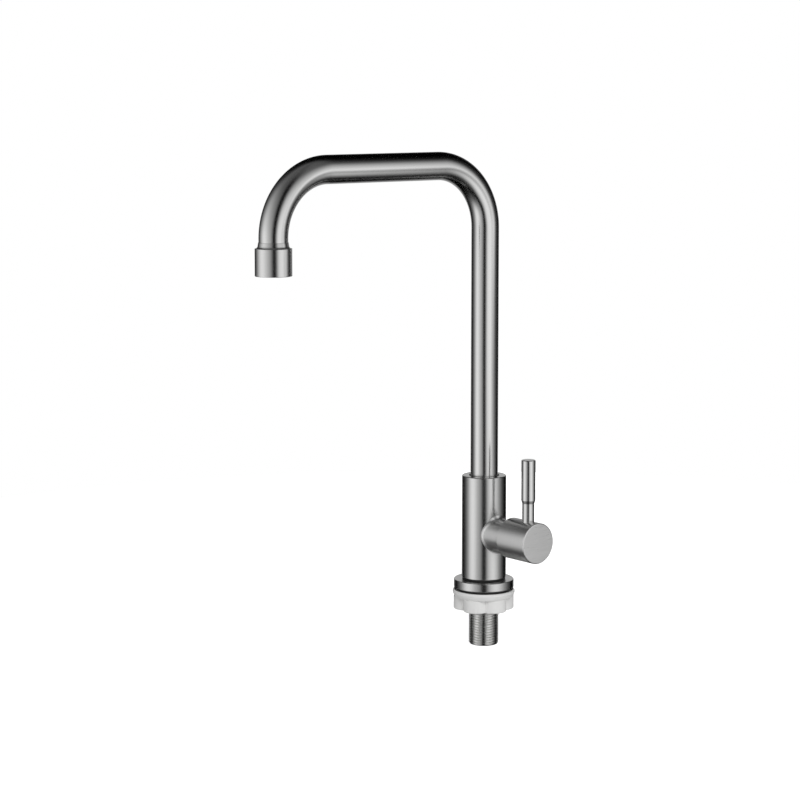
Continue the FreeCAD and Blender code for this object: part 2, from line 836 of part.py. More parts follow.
def make_aerator_housing():
    """Steel collar on the tube's end, with a flared neck and a lip that holds the insert."""
    outer, tube = size("aerator_radius"), size("tube_radius") + size("fit_clearance")
    edge, neck = size("aerator_edge"), tube + size("aerator_neck_wall")
    neck_foot = neck + size("aerator_neck_flare")
    collar_top = outlet_level + size("aerator_height")
    neck_top = collar_top + size("aerator_neck_height")
    mouth = aerator_bore - size("aerator_lip_inset")
    body = turned("aerator_housing", [
        (mouth, outlet_level), (outer - edge, outlet_level), (outer, outlet_level + edge),
        (outer, collar_top), (neck_foot, collar_top), (neck, neck_top), (tube, neck_top),
        (tube, tube_end), (aerator_bore, tube_end), (aerator_bore, insert_floor),
        (mouth, insert_floor),
    ], "V_Axis", outlet_place)
    cove = size("aerator_cove")
    dress(body, "Fillet", "Radius", cove, lambda e: is_ring(e, neck_foot, collar_top))


def make_aerator_washer():
    """Rubber washer between the tube's end and the aerator insert."""
    foot = tube_end - size("aerator_washer_thickness")
    inner = size("tube_radius") - size("tube_wall")
    turned("aerator_washer", rectangle(inner, foot, insert_radius, tube_end), "V_Axis", outlet_place)


def make_aerator_diffuser():
    """Plastic plate with a ring of jets round a closed middle."""
    top = tube_end - size("aerator_washer_thickness")
    foot = top - size("diffuser_thickness")
    body = turned("aerator_diffuser", rectangle(0, foot, insert_radius, top), "V_Axis", outlet_place)
    jet = new_sketch(body, "XY", foot)
    draw_circle(jet, size("screen_hole") * 0.8, insert_radius * 0.55, 0)
    hole = pocket(body, jet, size("diffuser_thickness"), along=True)
    repeat_round(body, [hole], jet, 12)


def make_aerator_screens():
    """Two thin perforated discs, as one node."""
    top = tube_end - size("aerator_washer_thickness") - size("diffuser_thickness")
    step = size("screen_thickness") + size("fit_clearance")
    discs = []
    for i in (1, 2):
        disc = doc.addObject("PartDesign::Body", f"aerator_screen_{i}")
        blank = new_sketch(disc, "XY", top - step * i)
        draw_circle(blank, insert_radius)
        pad(disc, blank, size("screen_thickness"))
        hole_sketch = new_sketch(disc, "XY", top - step * i)
        draw_circle(hole_sketch, size("screen_hole"), 0, 0)
        pocket(disc, hole_sketch, size("screen_thickness"), along=True)
        for ring in (1, 2, 3):
            spot = new_sketch(disc, "XY", top - step * i)
            draw_circle(spot, size("screen_hole"), insert_radius * 0.27 * ring, 0)
            hole = pocket(disc, spot, size("screen_thickness"), along=True)
            repeat_round(disc, [hole], spot, 6 * ring)
        place(disc, outlet_place)
        discs.append(disc)
    group = doc.addObject("Part::Compound", "aerator_screens")
    group.Label = "aerator_screens"
    group.Links = discs
    NODES.append(group)


def make_aerator_cage():
    """Plastic cup whose floor is a honeycomb that straightens the stream."""
    step = size("screen_thickness") + size("fit_clearance")
    top = tube_end - size("aerator_washer_thickness") - size("diffuser_thickness") - step * 2
    inner = insert_radius - size("cage_wall")
    floor_top = insert_floor + size("cage_floor")
    body = turned("aerator_cage", [
        (0, insert_floor), (insert_radius, insert_floor), (insert_radius, top),
        (inner, top), (inner, floor_top), (0, floor_top),
    ], "V_Axis", outlet_place)
    spots = []
    for reach, angle in ((0, 0), (1, 0), (2, 0), (math.sqrt(3), CELL_TURN)):
        cell = new_sketch(body, "XY", insert_floor)
        away = size("cell_pitch") * reach
        x, y = away * math.cos(math.radians(angle)), away * math.sin(math.radians(angle))
        draw_outline(cell, polygon(size("cell_radius") * HEX_TO_CORNER, 6, x, y, CELL_TURN))
        hole = pocket(body, cell, size("cage_floor"), along=True)
        if reach:
            spots.append(hole)
    repeat_round(body, spots, spots[0].Profile[0], 6)


# --- under-deck fixing ----------------------------------------------------------------------


def make_clamp_washer():
    """White plastic cup washer: its rounded rim bears on the underside of the deck."""
    outer, inset = size("washer_radius"), size("washer_foot_inset")
    dish = size("gasket_radius") + size("fit_clearance")
    rim = outer - size("washer_rim") / 2
    bulge = size("washer_height") * 0.36
    floor = washer_top - size("washer_dish")
    hole = size("thread_radius") + size("nut_clearance")
    turned("clamp_washer", [
        (hole, washer_foot), (outer - inset, washer_foot),
        (outer - inset * 0.35, washer_foot + bulge), (outer, washer_top - bulge),
        (outer - inset * 0.1, washer_top - bulge / 2), (rim, washer_top),
        (dish, washer_top), (dish, floor), (hole, floor),
    ])


def make_lock_nut():
    """White plastic hand nut with round lobes, running on the shank's thread."""
    body = new_piece("lock_nut")
    core = new_sketch(body, "XY", nut_foot)
    draw_circle(core, size("nut_core_radius"))
    pad(body, core, size("nut_height"))
    spot = new_sketch(body, "XY", nut_foot)
    turn = math.radians(LOBE_TURN)
    away = size("lobe_circle")
    draw_circle(spot, size("lobe_radius"), away * math.cos(turn), away * math.sin(turn))
    lobe = pad(body, spot, size("nut_height"))
    repeat_round(body, [lobe], spot, LOBES)
    foot, far = nut_foot.value, SIZES["nut_core_radius"] + 0.5

    def is_lobe_foot(edge):
        middle = edge.valueAt((edge.FirstParameter + edge.LastParameter) / 2)
        at_foot = abs(edge.BoundBox.ZMax - foot) < 1e-3 and edge.BoundBox.ZLength < 1e-3
        return at_foot and math.hypot(middle.x, middle.y) > far

    dress(body, "Chamfer", "Size", size("lobe_edge"), is_lobe_foot)
    bore = new_sketch(body, "XY", nut_foot)
    draw_circle(bore, size("thread_radius") + size("nut_clearance"))
    pocket(body, bore, size("nut_height"), along=True)


# --- build, check and write -----------------------------------------------------------------


def make_all():
    """Every piece, from the deck upwards."""
    make_base_gasket()
    make_base_flange()
    make_threaded_shank()
    make_shank_o_ring()
    make_body_foot_ring()
    make_faucet_body()
    make_spout_retaining_screw()
    make_valve_seat_seal()
    make_ceramic_disc("fixed_ceramic_disc", size("seal_thickness"), "Z", False)
    make_ceramic_disc("moving_ceramic_disc", moving_disc_start, "Y", True)
    make_valve_housing()
    make_housing_o_ring()
    make_valve_spindle()
    make_spindle_o_rings()
    make_spindle_circlip()
    make_handle_hub()
    make_lever_rod()
    make_thrust_washer()
    make_swivel_bush()
    make_spout_sleeve()
    make_spout_o_rings()
    make_spout_tube()
    make_aerator_housing()
    make_aerator_washer()
    make_aerator_diffuser()
    make_aerator_screens()
    make_aerator_cage()
    make_clamp_washer()
    make_lock_nut()


def check_all():
    """Stop if any object failed or any piece has no valid solid."""
    for thing in doc.Objects:
        if {"Invalid", "Error"} & set(thing.State):
            raise RuntimeError(f"{thing.Name} failed: {thing.State}")
    for node in NODES:
        shape = node.Shape
        if shape.isNull() or not shape.isValid() or not shape.Solids:
            raise RuntimeError(f"{node.Label} has no valid solid")


def write_all():
    """One STEP file for each piece."""
    os.makedirs("parts", exist_ok=True)
    for node in NODES:
        node.Shape.exportStep(f"parts/{node.Label}.step")
        print(f"{node.Label}: {len(node.Shape.Solids)} solid, {node.Shape.Volume:.1f} mm3")


make_all()
doc.recompute()
check_all()
write_all()
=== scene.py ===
"""The looks of a gooseneck bar faucet, built round its packed construction model.

The frame's solids hold the sizes; the classes here give the pieces that show their turned,
bent and moulded surfaces, and every piece its finish. Lengths are in metres, in the part's
own frame: +Z up, the deck face at zero, the spout towards -Y and the handle on +X.
"""

import logging
import math
from dataclasses import dataclass, field
from enum import Enum
from typing import Optional, Sequence, Union

import bmesh
import bpy
import numpy as np
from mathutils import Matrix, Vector


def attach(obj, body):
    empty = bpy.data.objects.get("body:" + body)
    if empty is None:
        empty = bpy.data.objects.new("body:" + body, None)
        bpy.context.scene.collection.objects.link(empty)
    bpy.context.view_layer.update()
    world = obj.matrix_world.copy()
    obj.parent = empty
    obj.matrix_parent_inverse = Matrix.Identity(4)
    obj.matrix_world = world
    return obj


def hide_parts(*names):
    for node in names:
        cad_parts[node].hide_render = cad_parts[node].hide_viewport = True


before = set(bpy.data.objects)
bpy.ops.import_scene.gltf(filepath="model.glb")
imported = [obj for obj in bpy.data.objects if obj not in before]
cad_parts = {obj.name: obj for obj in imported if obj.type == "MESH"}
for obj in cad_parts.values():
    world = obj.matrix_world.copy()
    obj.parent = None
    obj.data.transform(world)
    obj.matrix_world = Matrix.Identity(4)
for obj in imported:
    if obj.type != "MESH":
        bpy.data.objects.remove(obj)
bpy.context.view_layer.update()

log = logging.getLogger("faucet")
MM = 0.001
AROUND = 128  # columns round a turned piece
POLE = 1e-7  # points nearer than this, in metres, are one
TINY = 1e-9  # keeps a divisor off zero

# Rounding of outlines: sides that turn by less than FLAT from straight stay sharp, arcs take
# at most ARC_SHARE of a side, and a row holds each straight HOLD from its arc, in millimetres,
# or HOLD_SHARE of what is left of a short one.
FLAT = math.radians(88)
ARC_SHARE = 0.94
HOLD = 0.25
HOLD_SHARE = 0.3

Points = Sequence[tuple[float, float]]


class Axis(Enum):
    """The line that a turned piece is turned about."""

    UP = "z"
    SIDE = "x"


class Body(Enum):
    """The bodies of the frame that pieces ride on."""

    FIXED = "fixed_body"
    SPOUT = "spout"
    HANDLE = "handle"
    WASHER = "washer"
    NUT = "nut"


# --- surfaces -------------------------------------------------------------------------------


@dataclass
class Skin:
    """A closed surface given on a grid: rows run along a section, columns run round it.

    Attributes:
        points: Positions, rows by columns by three, in metres.
        along: How far each row lies along the section, in metres.
        grain: For each point a vector that the finishes read as a pattern's place: x runs
            along the section, y and z run round it.
        closed: True if the last row joins the first, False if both end rows are poles.
    """

    points: np.ndarray
    along: np.ndarray
    grain: np.ndarray
    closed: bool = True

    def cells(self) -> np.ndarray:
        """Number the corners of the grid's cells, each column joined to the next.

        Returns:
            Rows by columns by four vertex numbers.
        """
        rows, columns = self.points.shape[:2]
        last = rows if self.closed else rows - 1
        i = np.arange(last)[:, None]
        j = np.arange(columns)[None, :]
        below, right = (i + 1) % rows, (j + 1) % columns
        corners = (i * columns + j, below * columns + j)
        opposite = (below * columns + right, i * columns + right)
        return np.stack(np.broadcast_arrays(*corners, *opposite), axis=-1)

    def outward(self) -> bool:
        """Tell from the signed volume whether the cells' order already faces out.

        The volume is a sixth of the sum, over the triangles, of a dot (b cross c).

        Returns:
            True if the volume comes out positive.
        """
        flat = self.points.reshape(-1, 3)
        flat = flat - flat.mean(axis=0)
        quads = flat[self.cells().reshape(-1, 4)]
        first = np.einsum("ij,ij->i", quads[:, 0], np.cross(quads[:, 1], quads[:, 2]))
        second = np.einsum("ij,ij->i", quads[:, 0], np.cross(quads[:, 2], quads[:, 3]))
        return float(first.sum() + second.sum()) > 0.0

    def mesh(self, name: str) -> bpy.types.Mesh:
        """Make the mesh, facing out, with its grain and a UV map along and round it.

        Args:
            name: Name of the mesh.

        Returns:
            The mesh.
        """
        cells = self.cells()
        rows, columns = cells.shape[:2]
        order = [0, 1, 2, 3] if self.outward() else [3, 2, 1, 0]
        around = np.arange(columns + 1) / columns
        along = np.append(self.along, 2 * self.along[-1] - self.along[-2])
        i = np.arange(rows)[:, None]
        j = np.arange(columns)[None, :]
        u = np.stack(np.broadcast_arrays(along[i], along[i + 1], along[i + 1], along[i]), -1)
        v = np.stack(np.broadcast_arrays(around[j], around[j], around[j + 1], around[j + 1]), -1)
        u, v = np.broadcast_arrays(u, v)
        mesh = bpy.data.meshes.new(name)
        faces = cells[..., order].reshape(-1, 4)
        mesh.from_pydata(self.points.reshape(-1, 3).tolist(), [], faces.tolist())
        layer = mesh.uv_layers.new(name="Surface")
        corners = np.stack([u[..., order], v[..., order]], -1)
        layer.data.foreach_set("uv", corners.ravel().astype(np.float32))
        place = mesh.attributes.new("grain", "FLOAT_VECTOR", "POINT")
        place.data.foreach_set("vector", self.grain.ravel().astype(np.float32))
        close_poles(mesh)
        return mesh


def close_poles(mesh: bpy.types.Mesh) -> None:
    """Join the points that fall together at poles and drop the faces that vanish.

    Args:
        mesh: The mesh to clean, changed in place.
    """
    work = bmesh.new()
    work.from_mesh(mesh)
    bmesh.ops.remove_doubles(work, verts=work.verts, dist=POLE)
    bmesh.ops.dissolve_degenerate(work, edges=work.edges, dist=0.1 * POLE)
    work.to_mesh(mesh)
    work.free()


def rounded(points: Points, radius: Union[float, Sequence[float]], closed: bool = True,
            steps: int = 5) -> np.ndarray:
    """Round the corners of an outline with arcs and hold its straights with nearby rows.

    Each corner becomes an arc tangent to both sides. Where the arcs at a side's two ends
    would take nearly all of it, both are cut in the same proportion. A row stands a little
    way down each straight, so that the smooth shading of the arc doesn't spread over it.

    Args:
        points: Corners, in millimetres, in order.
        radius: One radius for all corners, or one for each, in millimetres.
        closed: True if the last corner joins the first.
        steps: Points on each arc.

    Returns:
        The outline's points, in metres, two columns.
    """
    corner = np.asarray(points, float)
    count = len(corner)
    radii = np.full(count, radius) if np.isscalar(radius) else np.asarray(radius, float)
    side = np.roll(corner, -1, axis=0) - corner
    length = np.linalg.norm(side, axis=1)
    ahead = side / length[:, None]
    back = -np.roll(ahead, 1, axis=0)
    half = 0.5 * np.arccos(np.clip((back * ahead).sum(axis=1), -1.0, 1.0))
    plain = (radii <= 0) | (half > FLAT)
    if not closed:
        plain[[0, -1]] = True
    trim = np.where(plain, 0.0, radii / np.tan(half))
    both = np.maximum(trim + np.roll(trim, -1), TINY)
    share = np.minimum(1.0, ARC_SHARE * length / both)
    trim *= np.minimum(share, np.roll(share, 1))
    result = []
    for i in range(count):
        here = corner[i]
        if plain[i]:
            result.append(here)
            continue
        arc = trim[i] * math.tan(half[i])
        bisector = (back[i] + ahead[i]) / np.linalg.norm(back[i] + ahead[i])
        centre = here + bisector * arc / math.sin(half[i])
        first, last = here + back[i] * trim[i] - centre, here + ahead[i] * trim[i] - centre
        sweep = math.pi - 2 * half[i]
        turn = np.linspace(0, 1, steps)[:, None]
        mix = (np.sin((1 - turn) * sweep) * first + np.sin(turn * sweep) * last) / math.sin(sweep)
        spare = length[i - 1] - trim[i - 1] - trim[i], length[i] - trim[i] - trim[(i + 1) % count]
        hold = min(HOLD, HOLD_SHARE * spare[0]), min(HOLD, HOLD_SHARE * spare[1])
        result.append(here + back[i] * (trim[i] + hold[0]))
        result.extend(centre + mix)
        result.append(here + ahead[i] * (trim[i] + hold[1]))
    return np.asarray(result) * MM


def washer(bore: float, rim: float, foot: float, top: float) -> Points:
    """Give the section of a flat ring.

    Args:
        bore: Inner radius.
        rim: Outer radius.
        foot: Height of its underside.
        top: Height of its upper side.

    Returns:
        The section's four corners, radius and height.
    """
    return [(bore, foot), (rim, foot), (rim, top), (bore, top)]


def distance_along(outline: np.ndarray) -> np.ndarray:
    """Add up the steps between an outline's points.

    Args:
        outline: Points, one in each row.

    Returns:
        The distance of each point from the first.
    """
    steps = np.linalg.norm(np.diff(outline, axis=0), axis=1)
    return np.concatenate([[0.0], np.cumsum(steps)])


def turned(outline: np.ndarray, centre: Sequence[float] = (0, 0, 0), axis: Axis = Axis.UP,
           closed: bool = True, around: int = AROUND) -> Skin:
    """Turn an outline about an axis: each of its points sweeps a circle.

    A point at station s and radius r, turned by the angle t, lies at s along the axis and
    at r cos t and r sin t across it.

    Args:
        outline: Points in metres: radius and height about UP, station and radius about SIDE.
        centre: A point that the axis passes through, in metres.
        axis: The axis to turn about.
        closed: True for a ring, False for an outline that starts and ends on the axis.
        around: Columns round the axis.

    Returns:
        The skin.
    """
    angle = 2 * np.pi * np.arange(around) / around
    station, radius = (outline[:, 1], outline[:, 0]) if axis is Axis.UP else outline.T
    radius, station = radius[:, None], np.repeat(station[:, None], around, axis=1)
    first, second = radius * np.cos(angle), radius * np.sin(angle)
    parts = (first, second, station) if axis is Axis.UP else (station, second, first)
    along = distance_along(outline)
    grain = np.stack([np.repeat(along[:, None], around, axis=1), first, second], -1)
    return Skin(np.stack(parts, -1) + np.asarray(centre), along, grain, closed)


def lathed(radius: np.ndarray, height: np.ndarray) -> Skin:
    """Wrap rows of points about the upright axis, each point at its own radius.

    Args:
        radius: Radii in millimetres, rows by columns.
        height: Heights in millimetres, in the same shape.

    Returns:
        The closed skin, whose grain runs along the middles of the rows.
    """
    around = radius.shape[1]
    angle = 2 * np.pi * np.arange(around) / around
    points = np.stack([radius * np.cos(angle), radius * np.sin(angle), height], -1) * MM
    along = distance_along(np.stack([radius.mean(axis=1), height.mean(axis=1)], -1) * MM)
    rows = np.repeat(along[:, None], around, axis=1)
    return Skin(points, along, np.stack([rows, points[..., 0], points[..., 1]], -1))


# --- finishes -------------------------------------------------------------------------------


class Nodes:
    """A small hand for wiring a material's nodes."""

    def __init__(self, owner: Union[bpy.types.Material, bpy.types.World]) -> None:
        """Start with an empty tree.

        Args:
            owner: The material or world whose nodes are made.
        """
        owner.use_nodes = True
        self.tree = owner.node_tree
        self.tree.nodes.clear()

    def add(self, kind: str, settings: Optional[dict] = None, **inputs: object) -> bpy.types.Node:
        """Add a node and fill or wire its inputs.

        Args:
            kind: Node type without its ShaderNode prefix.
            settings: Properties of the node itself.
            inputs: Input names, with underscores for spaces, or i0, i1 for numbered ones.
                A socket is linked and anything else is set.

        Returns:
            The node.
        """
        node = self.tree.nodes.new(f"ShaderNode{kind}")
        for name, value in (settings or {}).items():
            setattr(node, name, value)
        for name, value in inputs.items():
            numbered = name[0] == "i" and name[1:].isdigit()
            socket = node.inputs[int(name[1:]) if numbered else name.replace("_", " ")]
            if isinstance(value, bpy.types.NodeSocket):
                self.tree.links.new(value, socket)
            else:
                socket.default_value = value
        return node

    def math(self, operation: str, *values: object) -> bpy.types.NodeSocket:
        """Add a Math node and return its value."""
        inputs = {f"i{number}": value for number, value in enumerate(values)}
        return self.add("Math", {"operation": operation}, **inputs).outputs[0]

    def span(self, value: bpy.types.NodeSocket, low: float, high: float, start: float = 0.0,
             end: float = 1.0) -> bpy.types.NodeSocket:
        """Map a value's range onto another, held at both ends.

        Args:
            value: The socket to map.
            low: What the start of the range becomes.
            high: What its end becomes.
            start: Start of the range.
            end: End of the range.

        Returns:
            The mapped value.
        """
        node = self.add("MapRange", Value=value, From_Min=start, From_Max=end, To_Min=low,
                        To_Max=high)
        return node.outputs[0]

    def mix(self, share: bpy.types.NodeSocket,
            shades: Sequence[tuple[float, ...]]) -> bpy.types.NodeSocket:
        """Mix two colours.

        Args:
            share: The second colour's share.
            shades: The two colours, linear red, green and blue.

        Returns:
            The mixed colour.
        """
        node = self.add("Mix", {"data_type": "RGBA"}, i0=share, i6=(*shades[0], 1.0),
                        i7=(*shades[1], 1.0))
        return node.outputs[2]

    def ramp(self, value: bpy.types.NodeSocket, stops: Points) -> bpy.types.NodeSocket:
        """Map a value through grey levels.

        Args:
            value: The socket to map, from 0 to 1.
            stops: Pairs of position and level, in rising order.

        Returns:
            The level, as a colour socket.
        """
        node = self.add("ValToRGB", Fac=value)
        elements = node.color_ramp.elements
        while len(elements) < len(stops):
            elements.new(0.5)
        for element, (place, level) in zip(elements, stops):
            element.position = place
            element.color = (level, level, level, 1.0)
        return node.outputs["Color"]


@dataclass(frozen=True)
class Finish:
    """What every finish has: a name, a colour and how rough it is.

    Attributes:
        name: Name of the material.
        colour: Base colour, linear red, green and blue.
        roughness: Mean roughness.
        metallic: 1 for metal and 0 for anything else.
    """

    name: str
    colour: tuple[float, float, float]
    roughness: float
    metallic: float = 0.0

    def material(self) -> bpy.types.Material:
        """Make the material once and return the same one afterwards.

        Returns:
            The material.
        """
        found = bpy.data.materials.get(self.name)
        if found is not None:
            return found
        made = bpy.data.materials.new(self.name)
        nodes = Nodes(made)
        shader = nodes.add("BsdfPrincipled", Metallic=self.metallic, **self.dress(nodes))
        nodes.add("OutputMaterial", Surface=shader.outputs[0])
        made.diffuse_color = (*self.colour, 1.0)
        return made

    def shades(self, tint: float) -> tuple[tuple[float, ...], tuple[float, ...]]:
        """Give the colour a step darker and a step lighter.

        Args:
            tint: The step, as a share of the colour.

        Returns:
            The dark and the light colour.
        """
        dark = tuple(c * (1 - tint) for c in self.colour)
        return dark, tuple(min(1.0, c * (1 + tint)) for c in self.colour)

    def dress(self, nodes: Nodes) -> dict[str, object]:
        """Make the finish's pattern.

        Args:
            nodes: The material's nodes.

        Returns:
            What the Principled shader takes in, by input name.
        """
        raise NotImplementedError


BROAD_SCALE = 0.16  # scale of the broad streaks against the fine ones
BROAD_SHARE = 0.35  # their share in the pattern
ROUGH_NOISE = (0.3, 0.7)  # the noise levels that the roughness is spread over
TINT_NOISE = (0.35, 0.65)  # the noise levels that the colour is spread over
RELIEF = 0.0001  # height of a finish's relief, in metres
SCATTER = (0.0012, 0.0011, 0.001)  # how far light wanders inside: red, green and blue


@dataclass(frozen=True)
class BrushedMetal(Finish):
    """Metal with fine lines left by an abrasive belt or wheel.

    Attributes:
        lines: How closely the lines follow one another, per metre.
        reach: How fast a line changes along itself, per metre.
        depth: Strength of the lines' relief.
        spread: How far the roughness strays from its mean.
        tint: How far the colour strays from its mean.
        stretch: Anisotropy: how far the highlight spreads across the lines.
        on_grain: True to follow a made piece's grain, False for straight level lines.
    """

    lines: float = 2600.0
    reach: float = 55.0
    depth: float = 0.05
    spread: float = 0.05
    tint: float = 0.05
    stretch: float = 0.5
    on_grain: bool = True

    def dress(self, nodes: Nodes) -> dict[str, object]:
        """Lay fine and broad streaks round the piece, in relief, roughness and colour.

        Args:
            nodes: The material's nodes.

        Returns:
            What the Principled shader takes in, by input name.
        """
        if self.on_grain:
            place = nodes.add("Attribute", {"attribute_name": "grain"}).outputs["Vector"]
            scale = (self.lines, self.reach, self.reach)
        else:
            place = nodes.add("TexCoord").outputs["Object"]
            scale = (self.reach, self.reach, self.lines)
        fine = nodes.add("Mapping", Vector=place, Scale=scale)
        broad = nodes.add("Mapping", Vector=place, Scale=tuple(s * BROAD_SCALE for s in scale))
        streak = nodes.add("TexNoise", Vector=fine.outputs[0], Scale=1.0, Detail=3.0, Roughness=0.6)
        patch = nodes.add("TexNoise", Vector=broad.outputs[0], Scale=1.0, Detail=2.0)
        mixed = nodes.math("ADD", nodes.math("MULTIPLY", streak.outputs[0], 1 - BROAD_SHARE),
                           nodes.math("MULTIPLY", patch.outputs[0], BROAD_SHARE))
        rough = nodes.span(mixed, self.roughness - self.spread, self.roughness + self.spread,
                           *ROUGH_NOISE)
        colour = nodes.mix(nodes.span(mixed, 0.0, 1.0, *TINT_NOISE), self.shades(self.tint))
        bump = nodes.add("Bump", Height=streak.outputs[0], Strength=self.depth, Distance=RELIEF)
        inputs = {"Base_Color": colour, "Roughness": rough, "Normal": bump.outputs[0]}
        if self.on_grain:
            tangent = nodes.add("Tangent", {"direction_type": "UV_MAP", "uv_map": "Surface"})
            inputs.update(Anisotropic=self.stretch, Tangent=tangent.outputs[0])
        return inputs


@dataclass(frozen=True)
class Moulded(Finish):
    """Moulded plastic, rubber or fired ceramic: soft mottling and a fine skin.

    Attributes:
        mottle: Size of the colour's cloudiness, per metre.
        tint: How far the colour strays from its mean.
        skin: Fineness of the surface's texture, per metre.
        depth: Strength of that texture.
        spread: How far the roughness strays from its mean.
        through: Weight of light scattered inside.
        specular: Level of the plain reflection, 0.5 for most plastics.
    """

    mottle: float = 90.0
    tint: float = 0.04
    skin: float = 2500.0
    depth: float = 0.08
    spread: float = 0.06
    through: float = 0.0
    specular: float = 0.5

    def dress(self, nodes: Nodes) -> dict[str, object]:
        """Cloud the colour and roughen the skin from the piece's own place.

        Args:
            nodes: The material's nodes.

        Returns:
            What the Principled shader takes in, by input name.
        """
        place = nodes.add("TexCoord").outputs["Object"]
        cloud = nodes.add("TexNoise", Vector=place, Scale=self.mottle, Detail=3.0)
        grit = nodes.add("TexNoise", Vector=place, Scale=self.skin, Detail=2.0)
        colour = nodes.mix(cloud.outputs[0], self.shades(self.tint))
        rough = nodes.span(grit.outputs[0], self.roughness - self.spread,
                           self.roughness + self.spread)
        bump = nodes.add("Bump", Height=grit.outputs[0], Strength=self.depth, Distance=RELIEF)
        inputs = {"Base_Color": colour, "Roughness": rough, "Normal": bump.outputs[0],
                  "Specular_IOR_Level": self.specular}
        if self.through:
            inputs.update(Subsurface_Weight=self.through, Subsurface_Radius=SCATTER)
        return inputs


STEEL = (0.71, 0.71, 0.705)
BODY_STEEL = BrushedMetal("brushed_body_steel", STEEL, 0.25, 1.0, lines=3200.0, reach=14.0,
                          depth=0.001, spread=0.015, tint=0.02, stretch=0.7)
# Painted light: the boss and drum take a lighter copy of the body's steel, so they come out
# brighter than the lighting makes them.
DRUM_STEEL_PAINTED_LIGHT = BrushedMetal("brushed_drum_steel_painted_light", (0.9, 0.9, 0.895), 0.32, 1.0, lines=3200.0,
                          reach=14.0, depth=0.001, spread=0.015, tint=0.02, stretch=0.9)
# Painted light: the drum's flat end takes an even lighter copy of the steel, so it comes out
# brighter.
FACE_STEEL_PAINTED_LIGHT = BrushedMetal("brushed_face_steel_painted_light", (0.92, 0.92, 0.915), 0.3, 1.0, lines=2400.0,
                          reach=150.0, depth=0.05, spread=0.04, tint=0.05, on_grain=False)
TUBE_STEEL = BrushedMetal("satin_tube_steel", STEEL, 0.2, 1.0, lines=2200.0, reach=14.0,
                          depth=0.001, spread=0.015, tint=0.015)
LEVER_STEEL = BrushedMetal("polished_lever_steel", STEEL, 0.15, 1.0, depth=0.02, spread=0.03,
                           tint=0.02, stretch=0.3)
THREAD_STEEL = BrushedMetal("thread_steel", (0.74, 0.74, 0.73), 0.16, 1.0, depth=0.005, stretch=0.0)
PLAIN_STEEL = BrushedMetal("plain_steel", (0.5, 0.5, 0.5), 0.32, 1.0, on_grain=False)
TURNED_BRASS = BrushedMetal("turned_brass", (0.75, 0.55, 0.25), 0.3, 1.0, on_grain=False)
WHITE_PLASTIC = Moulded("white_plastic", (0.66, 0.66, 0.655), 0.45, tint=0.05, through=0.15)
GREY_PLASTIC = Moulded("grey_plastic", (0.42, 0.43, 0.44), 0.45)
BLACK_RUBBER = Moulded("black_rubber", (0.018, 0.018, 0.018), 0.62, depth=0.2, specular=0.35)
BLACK_NYLON = Moulded("black_nylon", (0.012, 0.012, 0.012), 0.6, specular=0.15)
CERAMIC = Moulded("lapped_ceramic", (0.86, 0.84, 0.79), 0.2, depth=0.01)


# --- pieces ---------------------------------------------------------------------------------


def finished(name: str, skin: Skin, finish: Finish, body: Body, node: str,
             sharp: float = 32.0) -> bpy.types.Object:
    """Make a piece of a skin, dress it and hand it to the frame.

    Args:
        name: Name of the piece.
        skin: Its surface.
        finish: Its finish.
        body: The body that it rides on.
        node: The frame's node that it stands for.
        sharp: Edges that turn by more than this, in degrees, stay sharp.

    Returns:
        The piece.
    """
    mesh = skin.mesh(name)
    mesh.polygons.foreach_set("use_smooth", np.ones(len(mesh.polygons), bool))
    mesh.set_sharp_from_angle(angle=math.radians(sharp))
    mesh.materials.append(finish.material())
    piece = bpy.data.objects.new(name, mesh)
    bpy.context.scene.collection.objects.link(piece)
    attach(piece, body.value)
    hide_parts(node)
    log.info("%s: %d faces, rides on %s", name, len(mesh.polygons), body.value)
    return piece


